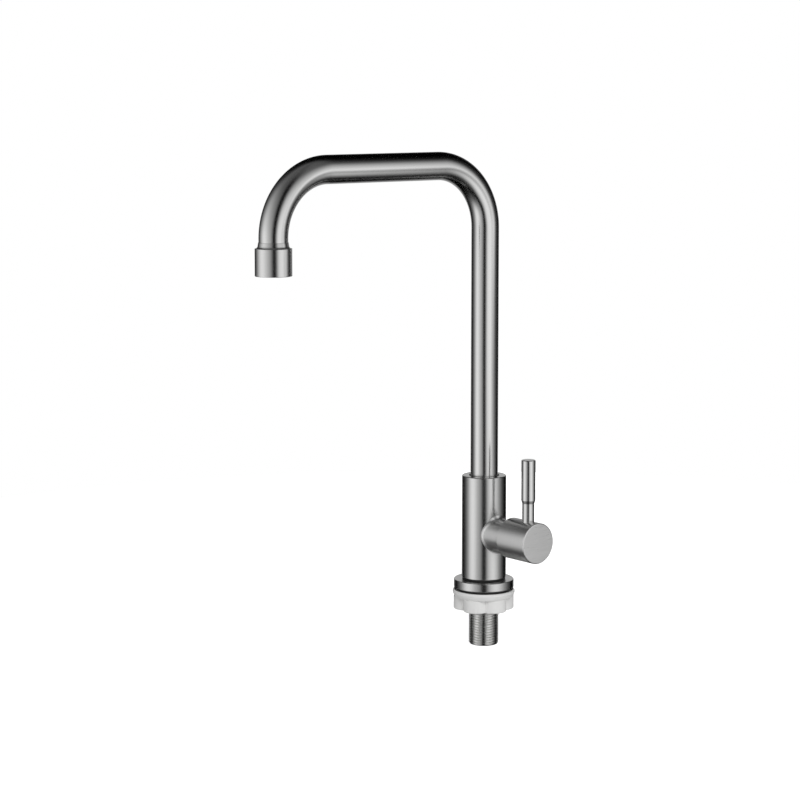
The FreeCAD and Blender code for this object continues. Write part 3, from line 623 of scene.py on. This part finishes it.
@dataclass
class Base:
    """Flange, gasket and threaded shank, in millimetres.

    The sizes repeat those of the solids, and what several pieces share is worked out.
    """

    gasket_radius: float = 20.25
    gasket_top: float = 1.2
    flange_radius: float = 20.9
    flange_top: float = 7.0
    flange_edge: float = 0.6
    hole_radius: float = 10.7775
    crest: float = 10.4775
    root: float = 9.3155
    pitch: float = 1.8143
    shank_foot: float = -39.2
    thread_top: float = 14.0
    bevel: float = 0.88  # how far the foot is cut back from the crest
    bore: float = 6.5
    sunk: float = 0.2  # how far under the root the shank's inside starts
    bore_edge: float = 0.25
    flank_slope: float = 4.2  # the wave's rise for each share of a turn
    land: float = 1.5  # the wave's height before it is cut off at 1
    flank_curve: float = 0.35  # the eased wave's share
    rows_each_pitch: int = 14

    def build(self) -> None:
        """Make the three pieces."""
        self.flange()
        self.gasket()
        self.shank()

    def flange(self) -> None:
        """Round steel plate with a softened upper rim."""
        section = washer(self.hole_radius, self.flange_radius, self.gasket_top, self.flange_top)
        skin = turned(rounded(section, [0.1, 0.35, self.flange_edge, 0.2]))
        finished("flange", skin, BODY_STEEL, Body.FIXED, "base_flange")

    def gasket(self) -> None:
        """Black rubber ring under the flange."""
        section = washer(self.hole_radius, self.gasket_radius, 0, self.gasket_top)
        skin = turned(rounded(section, 0.3))
        finished("gasket", skin, BLACK_RUBBER, Body.FIXED, "base_gasket")

    def shank(self) -> None:
        """Hollow shank with a helical thread.

        The radius is a trapezoid wave of the phase height over pitch minus angle over a
        turn: it rises from root to crest over a flank, eased by a share of 3 w squared minus
        2 w cubed, and stays there over the lands. A cone cuts it back at the foot.
        """
        rows = int((self.thread_top - self.shank_foot) / self.pitch * self.rows_each_pitch)
        height = np.linspace(self.shank_foot, self.thread_top, rows)
        angle = 2 * np.pi * np.arange(AROUND) / AROUND
        phase = (height[:, None] / self.pitch - angle[None, :] / (2 * np.pi)) % 1.0
        wave = np.clip(self.land - self.flank_slope * np.abs(phase - 0.5), 0.0, 1.0)
        eased = wave * wave * (3 - 2 * wave)
        wave = eased * self.flank_curve + wave * (1 - self.flank_curve)
        radius = self.root + (self.crest - self.root) * wave
        cone = self.crest - self.bevel + (height - self.shank_foot)
        radius = np.minimum(radius, np.maximum(cone, self.root)[:, None])
        inner = [self.root - self.sunk, self.bore, self.bore, self.bore + self.bore_edge]
        foot = self.shank_foot
        inner_height = [self.thread_top, self.thread_top, foot + self.bore_edge, foot]
        all_radius = np.concatenate([radius, np.repeat(np.array(inner)[:, None], AROUND, 1)])
        all_height = np.repeat(np.append(height, inner_height)[:, None], AROUND, 1)
        finished("shank", lathed(all_radius, all_height), THREAD_STEEL, Body.FIXED,
                 "threaded_shank", sharp=40)


@dataclass
class Column:
    """The body, the black ring under it and the bush in its mouth, in millimetres."""

    ring_foot: float = 7.0
    ring_bore: float = 10.7775
    ring_inset: float = 0.5
    foot: float = 8.4
    shank_bore: float = 10.6
    shank_end: float = 14.0
    waterway: float = 8.7
    top: float = 80.0
    radius: float = 15.45
    edge: float = 0.7
    socket: float = 10.5
    socket_floor: float = 56.0
    boss_radius: float = 11.0
    boss_end: float = 31.0
    boss_bore: float = 9.0
    boss_edge: float = 0.12
    boss_inside: float = 2.0
    boss_level: float = 40.0
    blend: float = 2.8
    bush_inner: float = 9.55
    bush_foot: float = 71.0
    bush_top: float = 79.6
    bush_gap: float = 0.03
    near_hold: float = 0.3  # how far off an edge or arc the rows stand that hold straights
    end_hold: float = 0.4
    far_hold: float = 1.0
    sunk: Points = ((0.3, 0.02), (0.5, 0.9))  # steps ahead and down from the arc's foot
    columns: int = 192
    boss_columns: int = 160
    blend_rows: int = 16

    def build(self) -> None:
        """Make the body, its boss, its bush and its foot ring."""
        finished("body", self.column(), BODY_STEEL, Body.FIXED, "faucet_body")
        # The boss takes the lighter copy of the steel: painted light.
        finished("boss", self.boss(), DRUM_STEEL_PAINTED_LIGHT, Body.FIXED, "faucet_body")
        bush = washer(self.bush_inner, self.socket - self.bush_gap, self.bush_foot, self.bush_top)
        finished("bush", turned(rounded(bush, 0.2)), BLACK_NYLON, Body.FIXED,
                 "swivel_bush")
        # A black ring under the body darkens the band between body and flange.
        ring = washer(self.ring_bore, self.radius - self.ring_inset, self.ring_foot, self.foot)
        finished("foot_ring", turned(rounded(ring, 0.2)), BLACK_RUBBER, Body.FIXED,
                 "body_foot_ring")

    def column(self) -> Skin:
        """Turned column with its socket.

        Returns:
            The skin.
        """
        corners = [(self.socket, self.socket_floor), (self.socket, self.top)]
        corners += [(self.radius, self.top), (self.radius, self.foot)]
        corners += [(self.shank_bore, self.foot), (self.shank_bore, self.shank_end)]
        corners += [(self.waterway, self.shank_end), (self.waterway, self.socket_floor)]
        radii = [0.3, 0.35, self.edge, 0.3, 0.2, 0.1, 0.1, 0.1]
        return turned(rounded(corners, radii), around=self.columns)

    def boss(self) -> Skin:
        """Boss along X with the fillet that joins it to the column.

        A ball of the blend's radius rolls round the boss and touches both. At the angle t
        round the boss's axis its centre lies at (boss radius + blend) times (sin t, cos t)
        across, and along X where it is the blend's radius off the column's wall. The fillet
        is the ball's arc between the two points that it touches. Past the arc the section
        goes ahead and down into the column by the steps in sunk, and it returns along the
        boss's bore. Rows near the edges and the arc's foot hold their straights.

        Returns:
            The skin.
        """
        around = self.boss_columns
        angle = 2 * np.pi * np.arange(around) / around
        out = np.stack([angle * 0, np.sin(angle), np.cos(angle)], -1)
        ball = out * (self.boss_radius + self.blend)
        off = self.radius + self.blend
        ball[:, 0] = np.sqrt(off**2 - ball[:, 1] ** 2)
        to_column = -ball / off
        to_column[:, 2] = 0.0
        between = np.arccos((-out * to_column).sum(axis=1))[:, None]
        t = np.linspace(0, 1, self.blend_rows)[:, None, None]
        mix = -np.sin((1 - t) * between) * out + np.sin(t * between) * to_column
        arc = ball + self.blend * mix / np.sin(between)
        ahead = (out + np.cos(between) * to_column) / np.sin(between)
        sunk = [arc[-1] + far * ahead + deep * to_column for far, deep in self.sunk]

        def hoop(x: Union[float, np.ndarray], radius: float) -> np.ndarray:
            """Give a ring of one radius about the boss's axis."""
            return np.stack([x + angle * 0, out[:, 1] * radius, out[:, 2] * radius], -1)

        end, knee, radius, edge = self.boss_end, arc[0][:, 0], self.boss_radius, self.boss_edge
        straight = [hoop(end, radius - self.near_hold), hoop(end, radius - edge),
                    hoop(end - edge, radius), hoop(end - self.end_hold, radius),
                    hoop(knee + self.far_hold, radius), hoop(knee + self.near_hold, radius)]
        inside = [hoop(self.boss_inside, self.boss_bore), hoop(end, self.boss_bore)]
        points = np.stack([*straight, *arc, *sunk, *inside])
        points[..., 2] += self.boss_level
        points *= MM
        middle = points[:, 0] * (1, 0, 1)
        along = distance_along(middle)
        rows = np.repeat(along[:, None], around, 1)
        return Skin(points, along, np.stack([rows, points[..., 1], points[..., 2]], -1))


@dataclass
class Spout:
    """The bent tube and the collar at its end, in millimetres."""

    tube_radius: float = 9.5
    wall: float = 1.0
    foot: float = 70.0
    bend_level: float = 252.0
    bend: float = 43.0
    reach: float = 180.0
    tube_end: float = 240.0
    tube_gap: float = 0.05
    collar_radius: float = 12.0
    collar_foot: float = 228.2
    collar_top: float = 245.9
    neck_height: float = 3.8
    neck_wall: float = 0.2
    neck_flare: float = 0.6
    cove: float = 1.7
    collar_bore: float = 10.6
    mouth: float = 9.6
    lip_top: float = 229.2
    rows_each_bend: int = 56
    rows_each_straight: int = 24
    rows_down: int = 6

    def build(self) -> None:
        """Make the tube and the collar."""
        finished("gooseneck", self.tube(), TUBE_STEEL, Body.SPOUT,
                 "spout_tube")
        self.collar()

    def collar(self) -> None:
        """Turned collar with a lip below and a short flared neck, coved at its foot."""
        tube = self.tube_radius + self.tube_gap
        neck, neck_top = tube + self.neck_wall, self.collar_top + self.neck_height
        corners = [(self.mouth, self.collar_foot), (self.collar_radius, self.collar_foot)]
        corners += [(self.collar_radius, self.collar_top)]
        corners += [(neck + self.neck_flare, self.collar_top), (neck, neck_top)]
        corners += [(tube, neck_top), (tube, self.tube_end), (self.collar_bore, self.tube_end)]
        corners += [(self.collar_bore, self.lip_top), (self.mouth, self.lip_top)]
        radii = [0.15, 0.3, 0.15, self.cove, 0.15, 0.05, 0.1, 0.1, 0.1, 0.1]
        skin = turned(rounded(corners, radii), (0, -self.reach * MM, 0))
        finished("aerator_collar", skin, BODY_STEEL, Body.SPOUT,
                 "aerator_housing")

    def tube(self) -> Skin:
        """Carry a ring along the spout's line: riser, bend, level run, bend and leg.

        At the lean t from upright, a ring's point at the angle a lies at r cos a across the
        line, r sin a cos t along Y and r sin a sin t up. The wall's inside goes back again.

        Returns:
            The skin.
        """
        turn = np.linspace(0, np.pi / 2, self.rows_each_bend)
        run_level = self.bend_level + self.bend
        far = self.reach - self.bend

        def straight(start: float, end: float) -> np.ndarray:
            """Give the rows between two stations, without the last."""
            return np.linspace(start, end, self.rows_each_straight, endpoint=False)

        up = straight(self.foot, self.bend_level)
        over = straight(-self.bend, -far)
        down = np.linspace(self.bend_level, self.tube_end, self.rows_down)[1:]
        line_y = np.concatenate([up * 0, -self.bend * (1 - np.cos(turn)), over[1:],
                                 -far - self.bend * np.sin(turn), down * 0 - self.reach])
        line_z = np.concatenate([up, self.bend_level + self.bend * np.sin(turn),
                                 over[1:] * 0 + run_level,
                                 self.bend_level + self.bend * np.cos(turn), down])
        lean = np.concatenate([up * 0, turn, over[1:] * 0 + np.pi / 2, np.pi / 2 + turn,
                               down * 0 + np.pi])
        line = np.stack([line_y, line_z], -1) * MM
        along = distance_along(line)
        angle = 2 * np.pi * np.arange(AROUND) / AROUND
        side, across = np.cos(angle), np.sin(angle)

        def sleeve(radius: float, rows: slice) -> np.ndarray:
            """Give rings of one radius along the line, square to it.

            Args:
                radius: Their radius, in metres.
                rows: The rows of the line that they stand on.

            Returns:
                Rows by columns by three.
            """
            tilt = lean[rows, None]
            x = np.repeat(radius * side[None, :], len(tilt), 0)
            y = line[rows, 0, None] + radius * across * np.cos(tilt)
            z = line[rows, 1, None] + radius * across * np.sin(tilt)
            return np.stack([x, y, z], -1)

        inner = (self.tube_radius - self.wall) * MM
        points = np.concatenate([sleeve(self.tube_radius * MM, slice(None)),
                                 sleeve(inner, slice(None, None, -1))])
        length = along[-1]
        all_along = np.concatenate([along, 2 * length + self.wall * MM - along[::-1]])
        rows = np.repeat(all_along[:, None], AROUND, 1)
        ring = np.stack([side, across], -1)[None] * self.tube_radius * MM
        ring = np.repeat(ring, len(all_along), 0)
        return Skin(points, all_along, np.concatenate([rows[..., None], ring], -1))


@dataclass
class Handle:
    """Drum and lever, in millimetres: stations along X and heights over the drum's axis."""

    level: float = 40.0
    start: float = 28.4
    end: float = 55.4
    radius: float = 14.0
    front_edge: float = 0.7
    rear_edge: float = 0.4
    bore: float = 11.4
    bore_end: float = 37.5
    spindle_bore: float = 4.05
    spindle_end: float = 50.3
    lever_station: float = 45.2
    pin: float = 3.25
    pin_radius: float = 3.0
    seat: float = 13.3
    neck: float = 4.15
    neck_top: float = 26.4
    taper: float = 2.2
    grip: float = 4.85
    top: float = 56.3
    lever_edge: float = 0.7
    lever_columns: int = 96

    def build(self) -> None:
        """Make the drum and the lever."""
        self.drum()
        self.lever()

    def drum(self) -> None:
        """Drum turned about X, bored for the boss's end and the spindle."""
        corners = [(self.spindle_end, 0), (self.spindle_end, self.spindle_bore)]
        corners += [(self.bore_end, self.spindle_bore), (self.bore_end, self.bore)]
        corners += [(self.start, self.bore), (self.start, self.radius)]
        corners += [(self.end, self.radius), (self.end, 0)]
        radii = [0, 0.1, 0.1, 0.1, 0.15, self.rear_edge, self.front_edge, 0]
        centre = (0, 0, self.level * MM)
        skin = turned(rounded(corners, radii, closed=False), centre, Axis.SIDE, closed=False)
        # The drum takes the lighter copy of the steel: painted light.
        drum = finished("drum", skin, DRUM_STEEL_PAINTED_LIGHT, Body.HANDLE, "handle_hub")
        self.dress_face(drum)

    def lever(self) -> None:
        """Rod turned about its own upright axis: pin, slim neck, taper and grip."""
        corners = [(0, self.pin), (self.pin_radius, self.pin), (self.pin_radius, self.seat)]
        corners += [(self.neck, self.seat), (self.neck, self.neck_top)]
        corners += [(self.grip, self.neck_top + self.taper), (self.grip, self.top), (0, self.top)]
        radii = [0, 0.1, 0.05, 0.1, 0.5, 0.5, self.lever_edge, 0]
        centre = (self.lever_station * MM, 0, self.level * MM)
        outline = rounded(corners, radii, closed=False)
        skin = turned(outline, centre, closed=False, around=self.lever_columns)
        finished("lever", skin, LEVER_STEEL, Body.HANDLE, "lever_rod")

    def dress_face(self, drum: bpy.types.Object) -> None:
        """Give the drum's flat end its own finish, brushed straight across, in a lighter copy of
        the steel that is painted light.

        Args:
            drum: The drum, whose faces at its far station are dressed.
        """
        faces = drum.data.polygons
        middle = np.empty(len(faces) * 3, np.float32)
        faces.foreach_get("center", middle)
        at_end = middle[0::3] > self.end * MM - POLE
        drum.data.materials.append(FACE_STEEL_PAINTED_LIGHT.material())
        faces.foreach_set("material_index", at_end.astype(np.int32))


@dataclass
class Fixing:
    """Cup washer and lobed hand nut under the deck, in millimetres."""

    washer_top: float = -0.4
    washer_foot: float = -5.2
    washer_radius: float = 21.75
    dish_radius: float = 20.3
    dish_floor: float = -2.6
    hole: float = 10.5575
    foot_radius: float = 20.5
    belly: float = 0.36  # where the rim bulges, as a share of the height from either side
    belly_inset: float = 0.44
    crown_inset: float = 0.12
    rim_inset: float = 0.675
    nut_top: float = -5.25
    nut_foot: float = -14.3
    lobes: int = 6
    lobe_radius: float = 8.8
    lobe_circle: float = 12.2
    lobe_turn: float = -7.2
    nut_edge: float = 0.9
    nut_top_edge: float = 0.25
    nut_holds: tuple[float, float, float] = (0.4, 0.6, 0.2)  # over the edge, under the top
    nut_columns: int = 384
    edge_rows: int = 6
    bore_edge: float = 0.3

    def build(self) -> None:
        """Make the washer and the nut."""
        outline = rounded(self.washer_section(), [0.3, 0.5, 3.0, 2.0, 0.9, 0.6, 0.3, 0.3, 0.3])
        finished("cup_washer", turned(outline), WHITE_PLASTIC, Body.WASHER,
                 "clamp_washer")
        finished("hand_nut", self.nut(), WHITE_PLASTIC, Body.NUT, "lock_nut",
                 sharp=50)

    def washer_section(self) -> Points:
        """Section of the cup washer, with a bulging rim and a dish in its upper side.

        Returns:
            Its corners, radius and height.
        """
        far, bulge = self.washer_radius, self.belly * (self.washer_top - self.washer_foot)
        return [(self.hole, self.washer_foot), (self.foot_radius, self.washer_foot),
                (far - self.belly_inset, self.washer_foot + bulge),
                (far, self.washer_top - bulge),
                (far - self.crown_inset, self.washer_top - bulge / 2),
                (far - self.rim_inset, self.washer_top), (self.dish_radius, self.washer_top),
                (self.dish_radius, self.dish_floor), (self.hole, self.dish_floor)]

    def nut(self) -> Skin:
        """Ring whose outline is a row of round lobes.

        A lobe's rim lies at c cos t + root(a squared - (c sin t) squared) from the nut's
        axis, with c the lobes' circle, a their radius and t the angle from the nearest
        lobe. Rows near the foot are drawn in to round its edge, and rows near the other
        edges hold their straights.

        Returns:
            The skin.
        """
        angle = 2 * np.pi * np.arange(self.nut_columns) / self.nut_columns
        step = 2 * np.pi / self.lobes
        away = (angle - math.radians(self.lobe_turn) + step / 2) % step - step / 2
        spread = np.sqrt(self.lobe_radius**2 - (self.lobe_circle * np.sin(away)) ** 2)
        rim = self.lobe_circle * np.cos(away) + spread
        turn = np.linspace(0, np.pi / 2, self.edge_rows)
        edge, bevel, foot, top = self.nut_edge, self.bore_edge, self.nut_foot, self.nut_top
        above_edge, under_top, near_top = self.nut_holds
        holds = [foot + edge + above_edge, top - under_top, top - near_top]
        inside = [top, top - bevel, foot + bevel, foot]
        height = np.concatenate([foot + edge * (1 - np.cos(turn)), holds, [top], inside])
        inset = np.concatenate([edge * (1 - np.sin(turn)), [0, 0, 0, self.nut_top_edge]])
        bore = self.hole + np.array([bevel, 0.0, 0.0, bevel])
        radius = np.concatenate([rim - inset[:, None], np.repeat(bore[:, None], len(rim), 1)])
        return lathed(radius, np.repeat(height[:, None], len(rim), 1))


@dataclass
class Insides:
    """The frame's solids that stay as they are, with the finish of each."""

    finishes: dict[str, Finish] = field(default_factory=lambda: {
        "shank_o_ring": BLACK_RUBBER,
        "spout_retaining_screw": PLAIN_STEEL,
        "valve_seat_seal": BLACK_RUBBER,
        "fixed_ceramic_disc": CERAMIC,
        "moving_ceramic_disc": CERAMIC,
        "valve_housing": TURNED_BRASS,
        "housing_o_ring": BLACK_RUBBER,
        "valve_spindle": TURNED_BRASS,
        "spindle_o_rings": BLACK_RUBBER,
        "spindle_circlip": PLAIN_STEEL,
        "thrust_washer": GREY_PLASTIC,
        "spout_sleeve": TURNED_BRASS,
        "spout_o_ring_lower": BLACK_RUBBER,
        "spout_o_ring_upper": BLACK_RUBBER,
        "aerator_washer": BLACK_RUBBER,
        "aerator_diffuser": GREY_PLASTIC,
        "aerator_screens": PLAIN_STEEL,
        "aerator_cage": GREY_PLASTIC,
    })

    def build(self) -> None:
        """Give each solid its finish."""
        for node, finish in self.finishes.items():
            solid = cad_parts[node]
            solid.data.materials.clear()
            solid.data.materials.append(finish.material())
            log.info("%s: %s", node, finish.name)


# --- studio ---------------------------------------------------------------------------------


@dataclass(frozen=True)
class Panel:
    """A lit field of the tent: its level is the ring's at the azimuth times the rise's.

    Attributes:
        name: What the field is.
        ring: Its level round the horizon, by azimuth.
        rise: The share of that level that is left, by height.
    """

    name: str
    ring: Points
    rise: Points


PANELS = (
    Panel("cloth_over",
          ((-132, 0), (-117, 0.08), (-107, 0.15), (-97, 0.33), (-87, 0.57), (-77, 0.87),
           (-67, 1.02), (-57, 0.95), (-48, 0.78), (-38, 0.6), (-28, 0.45), (-18, 0.18),
           (-11, 0), (-4, 0), (3, 0.11), (12, 0.56), (22, 0.98), (44, 1.04), (53, 0.91),
           (62, 0.5), (72, 0.25), (82, 0.15), (102, 0.06), (132, 0)),
          ((-14, 0), (-5, 1), (12, 1), (22, 0.8), (34, 0.54), (46, 0.3), (56, 0.11), (66, 0.04),
           (90, 0.03))),
    Panel("cloth_under",
          ((-132, 0), (-117, 0.06), (-107, 0.14), (-97, 0.28), (-87, 0.51), (-77, 0.87),
           (-67, 1.04), (-57, 1.05), (-47, 0.88), (-38, 0.64), (-28, 0.51), (-18, 0.38),
           (-9, 0.07), (-4, 0), (6, 0), (12, 0.26), (22, 0.64), (32, 0.88), (44, 1.03),
           (55, 0.96), (72, 0.63), (82, 0.38), (101, 0.12), (122, 0)),
          ((-70, 0.02), (-50, 0.11), (-38, 0.5), (-26, 0.93), (-14, 1), (-5, 0))),
    Panel("right_box",
          ((55, 0), (65, 0.62), (72, 0.84), (78, 0.76), (86, 0.38), (98, 0)),
          ((-10, 0), (-3, 0.2), (3, 0.4), (11, 1), (24, 0.82), (38, 0.56), (46, 0.34),
           (54, 0.12), (64, 0))),
    Panel("back_wall",
          ((-168, 0.48), (-156, 0.38), (-146, 0.06), (-138, 0), (138, 0), (146, 0.06),
           (156, 0.38), (168, 0.48)),
          ((-36, 0), (-24, 0.7), (-2, 0.9), (3, 1), (14, 1), (24, 0.5), (38, 0.1), (46, 0))),
    Panel("front_top",
          ((-110, 0), (-70, 0.08), (60, 0.08), (95, 0)),
          ((50, 0), (66, 1))),
)


@dataclass(frozen=True)
class Lamp:
    """A square soft lamp that reflections don't show.

    Attributes:
        name: What it is.
        place: Where it hangs, in metres.
        power: Its power, in watts.
        side: The length of its side, in metres.
    """

    name: str
    place: tuple[float, float, float]
    power: float
    side: float = 1.2

    def hang(self, target: Vector) -> None:
        """Hang the lamp, turned towards a point.

        Args:
            target: The point, in metres.
        """
        data = bpy.data.lights.new(self.name, "AREA")
        data.energy, data.size = self.power, self.side
        lamp = bpy.data.objects.new(self.name, data)
        lamp.location = self.place
        aim = target - Vector(self.place)
        lamp.rotation_euler = aim.to_track_quat("-Z", "Y").to_euler()
        lamp.visible_glossy = False
        bpy.context.scene.collection.objects.link(lamp)


@dataclass
class Studio:
    """Camera, floor, light tent and lamps.

    Azimuths in the tent are in degrees from the camera's side, positive to its right, and
    heights are in degrees over the horizon.

    Attributes:
        camera_place: Where the camera stands, in metres.
        camera_azimuth: Its bearing from the part, in degrees from -Y towards +X.
        focal: Its focal length, in millimetres.
        tilt: How far it looks down, in degrees.
        sensor: Width of its sensor, in millimetres.
        shift: Its upright lens shift, as a share of the frame.
        ambient: The world's level for matte surfaces.
        floor_level: Height of the floor, in metres.
        floor_radius: Its radius, in metres.
        floor_sides: Sides of its rim.
        floor_grey: Its colour.
        floor_glow: What is added to it for the camera, so that it comes out white.
        tent_radius: Radius of the tent, in metres.
        tent_level: Height of its middle, in metres.
        tent_grid: Its rows and columns.
        panels: The lit fields of the tent, whose levels add up.
        lamps: The lamps for what is matte.
        target: The point that the lamps are turned towards, in metres.
    """

    camera_place: tuple[float, float, float] = (1.1605, -1.031, 0.3522)
    camera_azimuth: float = 50.54
    focal: float = 101.83
    sensor: float = 36.0
    tilt: float = 6.446
    shift: float = -0.08
    ambient: float = 0.6
    floor_level: float = -0.0393
    floor_radius: float = 0.7
    floor_sides: int = 96
    floor_grey: float = 0.8
    floor_glow: float = 0.75
    tent_radius: float = 0.62
    tent_level: float = 0.12
    tent_grid: tuple[int, int] = (48, 96)
    panels: tuple[Panel, ...] = PANELS
    lamps: tuple[Lamp, ...] = (Lamp("key", (1.6, -0.9, 1.4), 24.0),
                               Lamp("back", (-0.9, 1.3, 1.5), 19.0))
    target: tuple[float, float, float] = (0.0, -0.05, 0.1)

    def build(self) -> None:
        """Make everything that isn't the faucet."""
        self.camera()
        self.world()
        self.tent()
        self.floor()
        for lamp in self.lamps:
            lamp.hang(Vector(self.target))
        bpy.context.scene.view_settings.view_transform = "Standard"

    def camera(self) -> None:
        """Stand the camera where the photograph was taken."""
        data = bpy.data.cameras.new("camera")
        data.lens, data.sensor_width = self.focal, self.sensor
        data.shift_y = self.shift
        camera = bpy.data.objects.new("camera", data)
        azimuth, tilt = math.radians(self.camera_azimuth), math.radians(self.tilt)
        ahead = Vector((-math.sin(azimuth) * math.cos(tilt), math.cos(azimuth) * math.cos(tilt),
                        -math.sin(tilt)))
        camera.location = self.camera_place
        camera.rotation_euler = ahead.to_track_quat("-Z", "Y").to_euler()
        bpy.context.scene.collection.objects.link(camera)
        bpy.context.scene.camera = camera

    def world(self) -> None:
        """White where the camera or a reflection sees it, plain grey for everything else."""
        world = bpy.data.worlds.new("studio")
        bpy.context.scene.world = world
        nodes = Nodes(world)
        path = nodes.add("LightPath").outputs
        seen = nodes.math("MAXIMUM", path["Is Camera Ray"], path["Is Glossy Ray"])
        seen = nodes.math("MAXIMUM", seen, path["Is Transmission Ray"])
        level = nodes.span(seen, self.ambient, 1.0)
        light = nodes.add("Background", Color=(1.0, 1.0, 1.0, 1.0), Strength=level)
        nodes.add("OutputWorld", Surface=light.outputs[0])

    def tent(self) -> None:
        """Closed ball of cloth round the part, seen in reflections alone."""
        rows, columns = self.tent_grid
        height = np.linspace(-np.pi / 2, np.pi / 2, rows)[:, None]
        angle = 2 * np.pi * np.arange(columns)[None, :] / columns
        ball = np.stack([np.cos(height) * np.cos(angle), np.cos(height) * np.sin(angle),
                         np.repeat(np.sin(height), columns, 1)], -1) * self.tent_radius
        centre = (0.0, 0.0, self.tent_level)
        skin = Skin(ball + centre, np.linspace(0, 1, rows), ball, closed=False)
        mesh = skin.mesh("tent")
        mesh.materials.append(self.cloth(centre))
        self.stand("tent", mesh, camera=False, shadow=False)

    def cloth(self, centre: tuple[float, float, float]) -> bpy.types.Material:
        """Lit cloth whose level is the sum of the panels'.

        Each panel is read from the tent's own place, turned so that the camera's side is
        +X. The azimuth's turn and the height's half turn are mapped to ramps from 0 to 1.

        Args:
            centre: Middle of the tent, in metres.

        Returns:
            The material.
        """
        cloth = bpy.data.materials.new("tent_cloth")
        nodes = Nodes(cloth)
        place = nodes.add("TexCoord").outputs["Object"]
        facing = nodes.add("VectorRotate", {"rotation_type": "Z_AXIS"}, Vector=place,
                           Center=centre, Angle=math.radians(90 - self.camera_azimuth))
        arm = nodes.add("VectorMath", {"operation": "SUBTRACT"}, i0=facing.outputs[0], i1=centre)
        unit = nodes.add("VectorMath", {"operation": "NORMALIZE"}, i0=arm.outputs[0])
        part = nodes.add("SeparateXYZ", Vector=unit.outputs[0]).outputs
        azimuth = nodes.math("ARCTAN2", part["Y"], part["X"])
        azimuth = nodes.math("MULTIPLY_ADD", azimuth, 0.5 / math.pi, 0.5)
        level = nodes.math("ARCSINE", part["Z"])
        level = nodes.math("MULTIPLY_ADD", level, 1 / math.pi, 0.5)
        total = (0.0, 0.0, 0.0)
        for panel in self.panels:
            ring = nodes.ramp(azimuth, [((a + 180) / 360, v) for a, v in panel.ring])
            rise = nodes.ramp(level, [((h + 90) / 180, v) for h, v in panel.rise])
            total = nodes.add("VectorMath", {"operation": "MULTIPLY_ADD"}, i0=ring, i1=rise,
                              i2=total).outputs[0]
        glow = nodes.add("Emission", Color=total)
        nodes.add("OutputMaterial", Surface=glow.outputs[0])
        cloth.cycles.emission_sampling = "NONE"
        return cloth

    def floor(self) -> None:
        """Pale floor under the shank's end, white to the camera but for the part's shadow."""
        turn = 2 * np.pi * np.arange(self.floor_sides) / self.floor_sides
        rim = np.stack([np.cos(turn), np.sin(turn)], -1) * self.floor_radius
        mesh = bpy.data.meshes.new("floor")
        corners = [(x, y, self.floor_level) for x, y in rim]
        mesh.from_pydata(corners, [], [tuple(range(self.floor_sides))])
        paper = bpy.data.materials.new("floor_paper")
        nodes = Nodes(paper)
        seen = nodes.add("LightPath").outputs["Is Camera Ray"]
        grey = (self.floor_grey, self.floor_grey, self.floor_grey, 1.0)
        matte = nodes.add("BsdfDiffuse", Color=grey)
        glow = nodes.add("Emission", Strength=nodes.math("MULTIPLY", seen, self.floor_glow))
        both = nodes.add("AddShader", i0=matte.outputs[0], i1=glow.outputs[0])
        nodes.add("OutputMaterial", Surface=both.outputs[0])
        paper.cycles.emission_sampling = "NONE"
        mesh.materials.append(paper)
        self.stand("floor", mesh, glossy=False)

    def stand(self, name: str, mesh: bpy.types.Mesh, camera: bool = True,
              glossy: bool = True, shadow: bool = True) -> None:
        """Put a stage piece in the scene.

        Args:
            name: Its name.
            mesh: Its mesh.
            camera: Whether the camera sees it.
            glossy: Whether reflections show it.
            shadow: Whether it keeps light out.
        """
        piece = bpy.data.objects.new(name, mesh)
        bpy.context.scene.collection.objects.link(piece)
        piece.visible_camera = camera
        piece.visible_glossy = glossy
        piece.visible_shadow = shadow


def main() -> None:
    """Build the faucet piece by piece, then the studio."""
    logging.basicConfig(level=logging.INFO, format="%(name)s: %(message)s")
    for assembly in (Base(), Column(), Spout(), Handle(), Fixing(), Insides(), Studio()):
        log.info("building %s", type(assembly).__name__)
        assembly.build()


if __name__ == "__main__":
    main()
